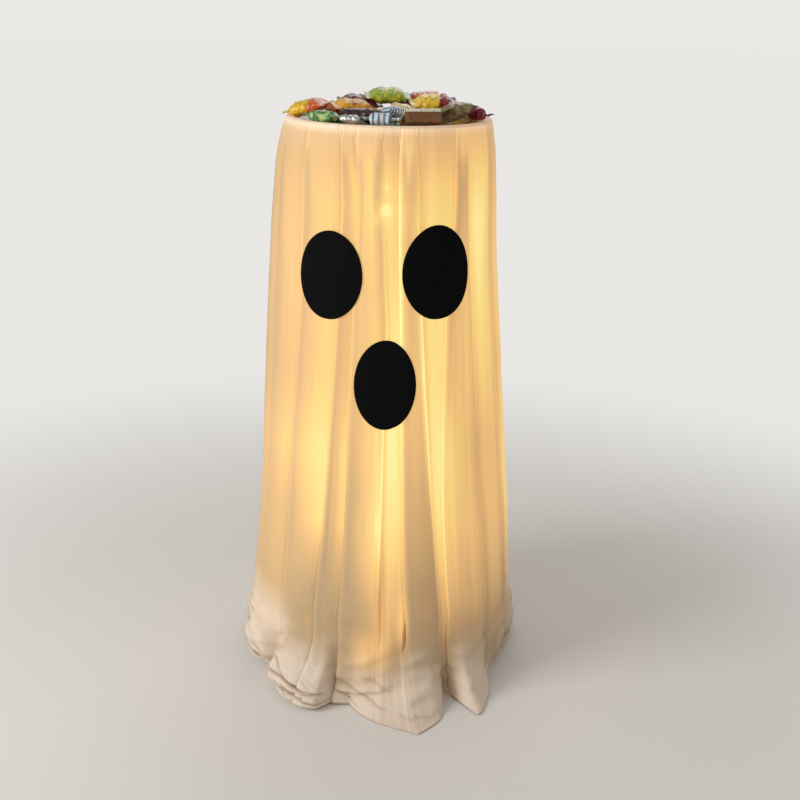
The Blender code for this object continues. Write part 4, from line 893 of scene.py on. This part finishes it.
# the two colours at each strength of the glow, up to its strongest
strongest = 1.5
scaled = add_node(voile_nodes, "ShaderNodeMath", {0: total, 1: 1 / strongest}, operation="MULTIPLY")
for socket, stops in (
    (
        "Base Color",
        (
            (0.0, "BCA584"), (0.25, "AC9776"), (0.5, "A28C68"), (0.75, "9C8560"), (1.0, "988056"),
            (1.5, "907850")
        )
    ),
    (
        "Emission Color",
        (
            (0.0, "000000"), (0.25, "725133"), (0.5, "A57F4E"), (0.75, "CA9B62"), (1.0, "E1B86D"),
            (1.25, "E7CB7A"), (1.5, "F2E398")
        )
    ),
):
    shade = add_node(voile_nodes, "ShaderNodeValToRGB", {"Fac": scaled})
    ramp = shade.color_ramp
    for number, (place, colour) in enumerate(stops):
        if number == 0 or place == strongest:
            stop = ramp.elements[0 if number == 0 else -1]
        else:
            stop = ramp.elements.new(place / strongest)
        stop.position, stop.color = place / strongest, linear(colour)
    if socket == "Base Color":
        piled = add_node(voile_nodes, "ShaderNodeAttribute", attribute_name="bunched").outputs["Fac"]
        shade = add_node(
            voile_nodes, "ShaderNodeMix",
            {"Factor": piled, "A": shade.outputs["Color"], "B": linear("E2D0BC")}, data_type="RGBA"
        )
        # painted shade: the cloth is darkened towards 7D6850 along the puddle's creases
        crease_shade = add_node(voile_nodes, "ShaderNodeAttribute", attribute_name="crease_shade").outputs["Fac"]
        crease_shade = add_node(voile_nodes, "ShaderNodeMath", {0: crease_shade, 1: 0.75}, operation="MULTIPLY")
        shade = add_node(
            voile_nodes, "ShaderNodeMix", {"Factor": crease_shade, "A": shade.outputs[2], "B": linear("7D6850")},
            data_type="RGBA"
        )
    set_inputs(voile_shader, {socket: shade.outputs[2 if socket == "Base Color" else 0]})
# slight pulls in the hanging cloth, sharp crumples where it lies on the floor, and the weave, which is too
# fine to show at 0.3 mm a thread and so is drawn as coarse as 1 mm
pulls = add_node(voile_nodes, "ShaderNodeMapping", {"Vector": flat, "Scale": (38.0, 5.0, 1.0)})
pulls = add_node(
    voile_nodes, "ShaderNodeTexNoise", {"Vector": pulls, "Scale": 1.0, "Detail": 3.0, "Distortion": 0.4}
)
crumple_map = add_node(
    voile_nodes, "ShaderNodeMapping", {"Vector": flat, "Scale": (9.0, 26.0, 1.0), "Rotation": (0, 0, -0.35)}
)
ridges = None
for size, share in ((0.7, 1.0), (1.9, 0.25)):
    ridge = add_node(
        voile_nodes, "ShaderNodeTexNoise",
        {"Vector": crumple_map, "Scale": size, "Detail": 1.0, "Distortion": 0.7}
    )
    ridge = distance_from(voile_nodes, ridge, 0.5)
    ridge = add_node(voile_nodes, "ShaderNodeMath", {0: ridge, 1: 0.6}, operation="POWER")
    ridges = add_node(
        voile_nodes, "ShaderNodeMath", {0: ridge, 1: share, 2: ridges or 0.0}, operation="MULTIPLY_ADD"
    )
crushed = add_node(voile_nodes, "ShaderNodeAttribute", attribute_name="crushed").outputs["Fac"]
facets = add_node(voile_nodes, "ShaderNodeMath", {0: ridges, 1: crushed}, operation="MULTIPLY")
thread_width = 0.001
warp, weft = (
    add_node(
        voile_nodes, "ShaderNodeTexWave", {"Vector": flat, "Scale": math.pi / (10 * thread_width)},
        bands_direction=axis
    ).outputs["Fac"]
    for axis in ("X", "Y")
)
weave = add_node(voile_nodes, "ShaderNodeMath", {0: warp, 1: weft}, operation="MULTIPLY")
bumped = None
for height, strength, depth in ((pulls, 0.35, 0.004), (facets, 0.6, 0.008), (weave, 0.25, 0.00008)):
    bumped = add_node(
        voile_nodes, "ShaderNodeBump",
        {"Height": height, "Strength": strength, "Distance": depth} | ({"Normal": bumped} if bumped else {})
    )
set_inputs(
    voile_shader,
    {
        "Emission Strength": 1.0,
        "Roughness": 0.8,
        "Sheen Weight": 0.25,
        "Sheen Roughness": 0.3,
        "Normal": bumped,
    },
)

sheet = new_object("ghost_sheet_cloth", sheet_mesh, voile)
thickness = sheet.modifiers.new("Cloth", "SOLIDIFY")
thickness.thickness = 0.0006
thickness.offset = 0
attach(sheet, "ghost")
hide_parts("ghost_sheet")

# Felt face: three ovals of black craft felt, glued to the crests of the folds and bridging between
# them. Each is laid on the outside of the sheet, as a ball rolled over it would feel it.
felt_material, felt_nodes, felt_shader = new_material("black craft felt")
where = add_node(felt_nodes, "ShaderNodeTexCoord")
hairs = add_node(
    felt_nodes, "ShaderNodeTexNoise",
    {"Vector": where.outputs["Object"], "Scale": 900.0, "Detail": 6.0, "Roughness": 0.7}
)
clumps = add_node(
    felt_nodes, "ShaderNodeTexNoise", {"Vector": where.outputs["Object"], "Scale": 120.0, "Detail": 3.0}
)
mixed = add_node(
    felt_nodes, "ShaderNodeMix", {"Factor": clumps, "A": linear("070707"), "B": linear("101011")},
    data_type="RGBA"
)
nap = add_node(felt_nodes, "ShaderNodeBump", {"Height": hairs, "Strength": 0.5, "Distance": 0.0006})
set_inputs(
    felt_shader,
    {"Base Color": mixed.outputs["Result"], "Roughness": 0.95, "Specular IOR Level": 0.1, "Normal": nap},
)
# the ball's radius, how far to each side it feels, and how far the felt's middle lies off the cloth
ball_radius, ball_reach, felt_gap = 0.08, 0.03, 0.0015
skirt = rows[first_skirt : last_skirt + 1]
skirt_angles = np.arctan2(skirt[..., 0], -skirt[..., 1])
skirt_radii = np.hypot(skirt[..., 0], skirt[..., 1])
for name, angle, middle_height, width, tall in (
    ("felt_eye_left", -27.2, 0.6685, 0.1005, 0.1275),
    ("felt_eye_right", 24.5, 0.675, 0.1055, 0.1355),
    ("felt_mouth", 0.0, 0.5133, 0.0900, 0.1330),
):
    near = (np.abs(skirt_heights - middle_height) < tall / 2 + ball_reach).nonzero()[0]
    points, rings, spokes = [], 14, 72
    polar = (
        [(0.0, 0.0)]
        + [
            (math.sin(ring / rings * math.pi / 2) if ring < rings else 1.0, spoke / spokes * 2 * math.pi)
            for ring in range(1, rings + 1) for spoke in range(spokes)
        ]
    )
    middle_radius = float(outline_radius(math.radians(angle), middle_height))
    for out, turn in polar:
        across, up = out * math.sin(turn) * width / 2, out * math.cos(turn) * tall / 2
        here, height = math.radians(angle) + across / middle_radius, middle_height + up
        found = []
        for r in near:
            arc = (skirt_angles[r] - here) * middle_radius
            found.append((skirt_radii[r] - arc**2 / (2 * ball_radius))[np.abs(arc) < ball_reach].max())
        radius = float(np.interp(-height, -skirt_heights[near], found)) + felt_gap
        points.append((radius * math.sin(here), -radius * math.cos(here), height))
    faces = [(0, 1 + (c + 1) % spokes, 1 + c) for c in range(spokes)]
    for ring in range(rings - 1):
        first = 1 + ring * spokes
        faces += [
            (first + c, first + (c + 1) % spokes, first + spokes + (c + 1) % spokes, first + spokes + c)
            for c in range(spokes)
        ]
    mesh = bpy.data.meshes.new(name + "_cut")
    mesh.from_pydata(points, [], faces)
    mesh.shade_smooth()
    felt = new_object(name + "_cut", mesh, felt_material)
    solid = felt.modifiers.new("Felt", "SOLIDIFY")
    solid.thickness = 0.0012
    solid.offset = 0
    edge = felt.modifiers.new("Cut edge", "BEVEL")
    edge.width = 0.0003
    edge.segments = 2
    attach(felt, "ghost")
    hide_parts(name)


def ease(value, start, end):
    """0 before the start, 1 after the end, and a smooth step between them."""
    t = np.clip((value - start) / (end - start), 0, 1)
    return t * t * (3 - 2 * t)


def wrapper_mesh(name, kind, size, seed):
    """A wrapper of a kind and size (length, width, thickness), with its flat film as UV."""
    chance = np.random.default_rng(seed)
    length, width, thick = size
    stations, spokes = (65, 36) if kind == "twist" else (45, 40)
    u = np.linspace(-1, 1, stations)[:, None]
    turn = np.linspace(0, 2 * math.pi, spokes, endpoint=False)[None]
    share = np.abs(u) / 2
    if kind in ("pack", "bar"):
        body = ease((0.5 - share) * length, 0.006, 0.020 if kind == "pack" else 0.014)
        wide = 1 - 0.07 * body * (1 - body) * 4 - 0.02 * body
        tall = 0.05 + 0.95 * body**0.75 * (1 - 0.10 * (2 * share) ** 2)
        blunt, crimp = 2.5, 0.5 - 0.006 / length
    elif kind == "twist":
        body = 1 - ease(share, 0.20, 0.31)
        fan = ease(share, 0.34, 0.48)
        wide = 0.22 + 0.76 * body + 0.80 * fan
        tall = 0.20 + 0.80 * body - 0.10 * fan
        blunt, crimp = 2.2, 2.0
    else:
        body = (1 - (2 * share) ** (7 if kind == "square" else 4)) ** 0.5
        wide = 0.90 + 0.10 * body
        tall = 0.14 + 0.86 * body
        blunt, crimp = (3.6 if kind == "square" else 2.8), 2.0
    c, s = np.cos(turn), np.sin(turn)
    power = 2 / (blunt * body + 5.0 * (1 - body))
    y = wide * width / 2 * np.sign(c) * np.abs(c) ** power
    z = tall * thick / 2 * np.sign(s) * np.abs(s) ** power
    x = u * length / 2 + 0 * turn
    # crinkles fan out from where the film is drawn in, and shallow dents and creases cross the body
    drawn = 4 * body * (1 - body)
    for waves in (5, 8, 13):
        z = (
            z
            + np.sign(s) * drawn * 0.0022 / waves
            * np.sin(waves * y / width * 2 * math.pi + chance.uniform(0, 6.3) + 2 * np.sign(u))
        )
    for number in range(9):
        way, pitch_length = chance.uniform(0, math.pi), chance.uniform(0.007, 0.026)
        wave = np.sin(
            (x * math.cos(way) + y * math.sin(way)) / pitch_length * 2 * math.pi + chance.uniform(0, 6.3)
            + (s < 0) * 2
        )
        crease = wave if number % 2 else 1 - 2 * np.abs(wave)
        z = z + s * crease * 0.00034 * np.sqrt(body) * min(thick / 0.016, 1.2)
        y = y + c * crease * 0.00022 * np.sqrt(body)
    if kind == "twist":
        fold = (
            fan * 0.0016 * np.sin(y / width * 9 + chance.uniform(0, 6.3))
            + fan * 0.0007 * np.sin(y / width * 23)
        )
        z = z + fold
        spun = np.sign(u) * math.pi * ease(share, 0.26, 0.40)
        y, z = y * np.cos(spun) - z * np.sin(spun), y * np.sin(spun) + z * np.cos(spun)
        x = x + np.sign(u) * fan * 0.0016 * np.sin(y / width * 12 + seed)
    elif crimp < 1:
        ends = share > crimp
        z = z + ends * (0.0008 * np.sin(y / width * 7 + seed) + 0.0005 * np.sin(y / width * 17))
        zigzag = (np.arange(spokes) % 2)[None] * (np.abs(u) == 1)
        x = x - np.sign(u) * zigzag * 0.0007
    points = np.stack([x, y, z], 2).reshape(-1, 3)
    caps = [[x[i].mean(), y[i].mean(), z[i].mean()] for i in (0, -1)]
    points = np.concatenate([points, caps])
    faces, flat = [], []
    for i in range(stations - 1):
        for j in range(spokes):
            k = (j + 1) % spokes
            faces.append((i * spokes + j, i * spokes + k, (i + 1) * spokes + k, (i + 1) * spokes + j))
            flat += [
                (a / (stations - 1), b / spokes)
                for a, b in ((i, j), (i, j + 1), (i + 1, j + 1), (i + 1, j))
            ]
    last = (stations - 1) * spokes
    for j in range(spokes):
        k = (j + 1) % spokes
        faces += [(len(points) - 2, k, j), (len(points) - 1, last + j, last + k)]
        flat += [
            (0, 0.5), (0, (j + 1) / spokes), (0, j / spokes), (1, 0.5), (1, j / spokes),
            (1, (j + 1) / spokes)
        ]
    mesh = bpy.data.meshes.new(name)
    mesh.from_pydata(points.tolist(), [], faces)
    mesh.uv_layers.new(name="film").data.foreach_set("uv", np.array(flat).reshape(-1))
    mesh.shade_smooth()
    return mesh


def carton_mesh(name, size):
    """A folded card box: bevelled, with its two end flaps tucked in."""
    shape = bmesh.new()
    bmesh.ops.create_cube(shape, size=1.0)
    bmesh.ops.scale(shape, vec=size, verts=shape.verts)
    bmesh.ops.bevel(shape, geom=shape.edges[:], offset=0.0008, segments=3, affect="EDGES", profile=0.6)
    for end in (-1, 1):
        face = max(shape.faces, key=lambda f: f.normal.x * end * f.calc_area())
        bmesh.ops.inset_region(shape, faces=[face], thickness=0.0006, depth=0.0)
        bmesh.ops.inset_region(shape, faces=[face], thickness=0.0005, depth=-0.0007)
    layer = shape.loops.layers.uv.new("film")
    for face in shape.faces:
        for loop in face.loops:
            loop[layer].uv = (loop.vert.co.x / size[0] + 0.5, 0.25 + loop.vert.co.z / size[2] * 0.2)
    mesh = bpy.data.meshes.new(name)
    shape.to_mesh(mesh)
    shape.free()
    mesh.shade_smooth()
    mesh.set_sharp_from_angle(angle=math.radians(40))
    return mesh


def film_material(name, pattern, colours, aspect, metal):
    """Printed film: generic colour zones in the print, crinkles with painted shade in them, crimp ribs and
    a glossy face.
    """
    material, nodes, shader = new_material(name)
    base, second, third = (linear(colour) for colour in colours)
    flat = add_node(nodes, "ShaderNodeUVMap", uv_map="film")
    size = add_node(nodes, "ShaderNodeMapping", {"Vector": flat, "Scale": (aspect, 2.0, 1.0)})
    parts = add_node(nodes, "ShaderNodeSeparateXYZ", {0: flat})
    along, round_it = parts.outputs["X"], parts.outputs["Y"]
    blot = add_node(
        nodes, "ShaderNodeTexNoise", {"Vector": size, "Scale": 2.2, "Detail": 2.0, "Distortion": 0.6}
    )
    if pattern == "top":
        mask = add_node(
            nodes, "ShaderNodeMapRange", {"Value": round_it, "From Min": 0.300, "From Max": 0.306}
        )
    elif pattern == "end":
        tilt = add_node(nodes, "ShaderNodeMath", {0: round_it, 1: 0.30, 2: along}, operation="MULTIPLY_ADD")
        mask = add_node(nodes, "ShaderNodeMapRange", {"Value": tilt, "From Min": 0.70, "From Max": 0.73})
    elif pattern == "stripes":
        wave = add_node(nodes, "ShaderNodeMath", {0: along, 1: 44.0}, operation="MULTIPLY")
        wave = add_node(nodes, "ShaderNodeMath", {0: wave}, operation="SINE")
        mask = add_node(nodes, "ShaderNodeMapRange", {"Value": wave, "From Min": 0.05, "From Max": 0.25})
    elif pattern == "band":
        off = distance_from(nodes, along, 0.5)
        mask = add_node(nodes, "ShaderNodeMapRange", {"Value": off, "From Min": 0.17, "From Max": 0.15})
    else:
        mask = add_node(nodes, "ShaderNodeMapRange", {"Value": blot, "From Min": 0.53, "From Max": 0.56})
    printed = add_node(nodes, "ShaderNodeMix", {"Factor": mask, "A": base, "B": second}, data_type="RGBA")
    spot = add_node(
        nodes, "ShaderNodeTexNoise", {"Vector": size, "Scale": 1.1, "Detail": 1.0, "Distortion": 1.5}
    )
    third_mask = add_node(nodes, "ShaderNodeMapRange", {"Value": spot, "From Min": 0.63, "From Max": 0.65})
    printed = add_node(
        nodes, "ShaderNodeMix", {"Factor": third_mask, "A": printed.outputs["Result"], "B": third},
        data_type="RGBA"
    )
    if pattern == "plain":
        printed = add_node(
            nodes, "ShaderNodeMix", {"Factor": blot, "A": base, "B": second}, data_type="RGBA"
        )
    crumple = add_node(
        nodes, "ShaderNodeTexVoronoi", {"Vector": size, "Scale": 7.0, "Randomness": 1.0},
        feature="DISTANCE_TO_EDGE"
    )
    fine = add_node(
        nodes, "ShaderNodeTexNoise", {"Vector": size, "Scale": 9.0, "Detail": 4.0, "Distortion": 1.2}
    )
    # painted shade in the creases: the print is darkened towards 160C06 where the fine crinkle noise is low
    crinkle_shade = add_node(
        nodes, "ShaderNodeMapRange",
        {"Value": fine, "From Min": 0.32, "From Max": 0.46, "To Min": 0.55, "To Max": 0.0}
    )
    printed = add_node(
        nodes, "ShaderNodeMix", {"Factor": crinkle_shade, "A": printed.outputs["Result"], "B": linear("160C06")},
        data_type="RGBA"
    )
    crinkle = add_node(
        nodes, "ShaderNodeMath", {0: crumple.outputs["Distance"], 1: 0.35, 2: fine},
        operation="MULTIPLY_ADD"
    )
    bump = add_node(nodes, "ShaderNodeBump", {"Height": crinkle, "Strength": 0.55, "Distance": 0.0016})
    rib = add_node(nodes, "ShaderNodeMath", {0: along, 1: 380.0}, operation="MULTIPLY")
    rib = add_node(nodes, "ShaderNodeMath", {0: rib}, operation="SINE")
    end = distance_from(nodes, along, 0.5)
    end = add_node(nodes, "ShaderNodeMath", {0: end, 1: 0.42}, operation="GREATER_THAN")
    rib = add_node(nodes, "ShaderNodeMath", {0: rib, 1: end}, operation="MULTIPLY")
    ribs = add_node(
        nodes, "ShaderNodeBump", {"Height": rib, "Strength": 0.5, "Distance": 0.0003, "Normal": bump}
    )
    worn = add_node(nodes, "ShaderNodeMapRange", {"Value": fine, "To Min": 0.18, "To Max": 0.36})
    set_inputs(
        shader,
        {
            "Base Color": printed.outputs["Result"],
            "Normal": ribs,
            "Roughness": worn,
            "Metallic": metal,
            "Coat Weight": 0.25,
            "Coat Roughness": 0.06,
        },
    )
    return material


# each candy: kind, roll, pitch and turn in degrees, print, its three colours and how metallic it is
candies = (
    ("bar", 0, 0, 8, "band", ("5A2A14", "7A3A1C", "C9A27A"), 0.0),
    ("bar", 0, 0, -5, "end", ("A8281C", "E8A01E", "F2E6D0"), 0.0),
    ("pack", 0, 0, 84, "end", ("E9BE1A", "CF5F12", "F1D874"), 0.0),
    ("pack", 0, 0, 95, "patch", ("1F5A1A", "3E8A28", "D8DCC0"), 0.0),
    ("bar", 0, 0, 3, "band", ("3A5F92", "EDEBE4", "8FB0CC"), 0.0),
    ("pack", 12, 0, 0, "end", ("A8200F", "D96A14", "E8B040"), 0.0),
    ("square", 10, 0, 30, "plain", ("C8A24A", "E0C478", "E0C478"), 0.7),
    ("square", 10, 0, -35, "plain", ("9A9C98", "C6C8C4", "C6C8C4"), 0.8),
    ("pack", -22, 0, -44, "patch", ("3F7A34", "A9BE7C", "D9CE8C"), 0.0),
    ("carton", -26, 0, 12, "top", ("7A4A16", "EFE6D0", "4E2C0C"), 0.0),
    ("pack", -24, 0, 50, "patch", ("7E6A3E", "A08F5C", "7E2A20"), 0.2),
    ("pack", -30, 0, 84, "end", ("D9A63E", "C9705E", "EDE3C4"), 0.1),
    ("mini", -30, 0, -30, "plain", ("A9ABA6", "D4D4CE", "D4D4CE"), 0.85),
    ("twist", -16, 0, -6, "stripes", ("E9E7DF", "5E86A8", "E9E7DF"), 0.0),
    ("twist", 0, 0, -58, "plain", ("A3123F", "8A1238", "C43A5E"), 0.1),
    ("bar", -8, 0, -6, "patch", ("34190F", "4A2616", "7A5A3A"), 0.0),
    ("mini", -10, 10, 30, "stripes", ("E6E6E2", "6C8FB4", "E6E6E2"), 0.2),
    ("twist", 6, 0, 10, "patch", ("B23A12", "D4661A", "E8A050"), 0.0),
    ("square", 8, 12, 40, "band", ("D8BE84", "B48A3C", "EDE0BE"), 0.35),
    ("pack", 4, -6, 30, "patch", ("8E8A66", "6E6C50", "C2BE98"), 0.2),
    ("bar", 4, 2, 40, "patch", ("B4500F", "D98A1E", "EFC04A"), 0.0),
    ("pack", 4, -12, -16, "end", ("EDBE22", "D8601A", "F6E27A"), 0.0),
    ("bar", 8, 2, -6, "patch", ("15701C", "2E9A2A", "0E4A14"), 0.0),
    ("pack", 8, 6, 16, "patch", ("E9A818", "D46E12", "F3D45A"), 0.0),
    ("pack", 8, 4, 5, "patch", ("5E1420", "86203A", "A84A4A"), 0.0),
    ("pack", 8, -4, 6, "end", ("EFC630", "8E1A26", "E8922A"), 0.0),
    ("pack", 8, -4, -8, "patch", ("BE2412", "E0661A", "8E1A26"), 0.0),
    ("pack", 8, 0, 6, "patch", ("9CB42E", "D6C83A", "8A5A2A"), 0.0),
)
# one twist wrap at the heap's left edge stands a little further out
edge_twist, edge_shift = 15, -0.009
for number, (kind, roll_turn, pitch_turn, turn, pattern, colours, metal) in enumerate(candies, 1):
    node = f"candy_{number:02d}"
    low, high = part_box(node)
    centre = (Vector(low) + Vector(high)) / 2
    rotation = Euler((math.radians(roll_turn), math.radians(pitch_turn), math.radians(turn))).to_matrix()
    local = np.array([rotation.transposed() @ (v.co - centre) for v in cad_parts[node].data.vertices])
    size = local.max(0) - local.min(0)
    if kind == "carton":
        mesh = carton_mesh(node + "_wrapper", size)
    else:
        mesh = wrapper_mesh(node + "_wrapper", kind, size, 11 * number)
    shift = Vector((edge_shift if number == edge_twist else 0, 0, 0))
    mesh.transform(Matrix.Translation(centre + shift) @ rotation.to_4x4())
    stuff = "card" if kind == "carton" else "foil" if metal > 0.5 else "film"
    film = film_material(f"printed {stuff} {number}", pattern, colours, size[0] / 0.03, metal)
    candy = new_object(node + "_wrapper", mesh, film)
    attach(candy, "ghost")
    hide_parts(node)

# What the cloth hides keeps its CAD shape: the welded wire cage, the bowl's moulding, the battery
# pack with its cells and contacts, and the cable ties. Each gets the finish that such a part has.


def dress(nodes, material):
    """Gives CAD nodes a material."""
    for name in nodes:
        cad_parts[name].data.materials.clear()
        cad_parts[name].data.materials.append(material)


def plain_finish(name, colours, roughness, scale, bump, metallic=0.0):
    """A finish of two close colours, worn in its gloss, with a fine grain."""
    material, nodes, shader = new_material(name)
    place = add_node(nodes, "ShaderNodeTexCoord").outputs["Object"]
    broad = add_node(nodes, "ShaderNodeTexNoise", {"Vector": place, "Scale": scale / 12, "Detail": 3.0})
    fine = add_node(nodes, "ShaderNodeTexNoise", {"Vector": place, "Scale": scale, "Detail": 4.0})
    colour = add_node(
        nodes, "ShaderNodeMix", {"Factor": broad, "A": linear(colours[0]), "B": linear(colours[1])},
        data_type="RGBA"
    )
    gloss = add_node(
        nodes, "ShaderNodeMapRange", {"Value": broad, "To Min": roughness[0], "To Max": roughness[1]}
    )
    grain = add_node(nodes, "ShaderNodeBump", {"Height": fine, "Strength": 0.4, "Distance": bump})
    set_inputs(
        shader,
        {"Base Color": colour.outputs["Result"], "Roughness": gloss, "Normal": grain, "Metallic": metallic},
    )
    return material, nodes, shader, colour


# hot-dipped zinc: grey flakes that catch the light unevenly
zinc, zinc_nodes, _, zinc_colour = plain_finish(
    "galvanised steel wire", ("868A8C", "B4B7B8"), (0.32, 0.55), 500.0, 0.0002, 1.0
)
flakes = add_node(
    zinc_nodes, "ShaderNodeTexVoronoi",
    {"Vector": add_node(zinc_nodes, "ShaderNodeTexCoord").outputs["Object"], "Scale": 260.0}
)
set_inputs(zinc_colour, {"Factor": flakes.outputs["Distance"]})
dress(("ring_top", "ring_middle", "ring_lower", "leg_back", "leg_front", "leg_left", "leg_right"), zinc)
# injection-moulded polypropylene, faintly waxy
dress(("bowl",), plain_finish("waxy moulded plastic", ("DEDBD3", "E8E6E0"), (0.34, 0.46), 700.0, 0.0001)[0])
# spark-textured black plastic, rubbed shinier in places
dress(
    ("battery_case", "battery_cover"),
    plain_finish("textured black plastic", ("0C0C0D", "151516"), (0.42, 0.62), 1600.0, 0.00015)[0]
)
dress(
    ("switch_slider",),
    plain_finish("smooth grey plastic", ("8D8D8A", "9B9B98"), (0.30, 0.42), 1200.0, 0.00005)[0]
)
# bright nickel plate with fine drawing marks
dress(
    [f"contact_spring_{n}" for n in (1, 2, 3)] + [f"contact_strip_{n}" for n in (1, 2, 3, 4)],
    plain_finish("nickel-plated steel", ("B9B6AC", "D2D0C8"), (0.18, 0.34), 1500.0, 0.00005, 1.0)[0],
)
dress(
    ("switch_board",),
    plain_finish("green circuit laminate", ("1D5B36", "2A6E44"), (0.35, 0.50), 900.0, 0.0001)[0]
)
dress(
    ("tie_battery_case", "tie_string_end", "tie_string_start"),
    plain_finish("natural nylon", ("D9D6CA", "E8E6DC"), (0.30, 0.45), 900.0, 0.00008)[0],
)
# a printed jacket with one plain light band, and bare nickel at both ends
for number in (1, 2, 3):
    low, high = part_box(f"cell_{number}")
    jacket, jacket_nodes, jacket_shader, _ = plain_finish(
        f"cell jacket {number}", ("2B4A3A", "345644"), (0.22, 0.34), 900.0, 0.00004
    )
    across = add_node(
        jacket_nodes, "ShaderNodeSeparateXYZ",
        {0: add_node(jacket_nodes, "ShaderNodeTexCoord").outputs["Object"]}
    )
    share = add_node(
        jacket_nodes, "ShaderNodeMapRange",
        {"Value": across.outputs["Z"], "From Min": low[2], "From Max": high[2]}
    )
    bands = add_node(jacket_nodes, "ShaderNodeValToRGB", {"Fac": share})
    ramp = bands.color_ramp
    ramp.interpolation = "CONSTANT"
    for place, colour in ((0.03, "2B4A3A"), (0.70, "C9C7BC"), (0.78, "2B4A3A"), (0.96, "BDBBB2")):
        ramp.elements.new(place).color = linear(colour)
    ramp.elements[0].color = linear("BDBBB2")
    ramp.elements[len(ramp.elements) - 1].color = linear("BDBBB2")
    bare = distance_from(jacket_nodes, share, 0.5)
    bare = add_node(jacket_nodes, "ShaderNodeMath", {0: bare, 1: 0.465}, operation="GREATER_THAN")
    set_inputs(jacket_shader, {"Base Color": bands.outputs["Color"], "Metallic": bare})
    dress((f"cell_{number}",), jacket)
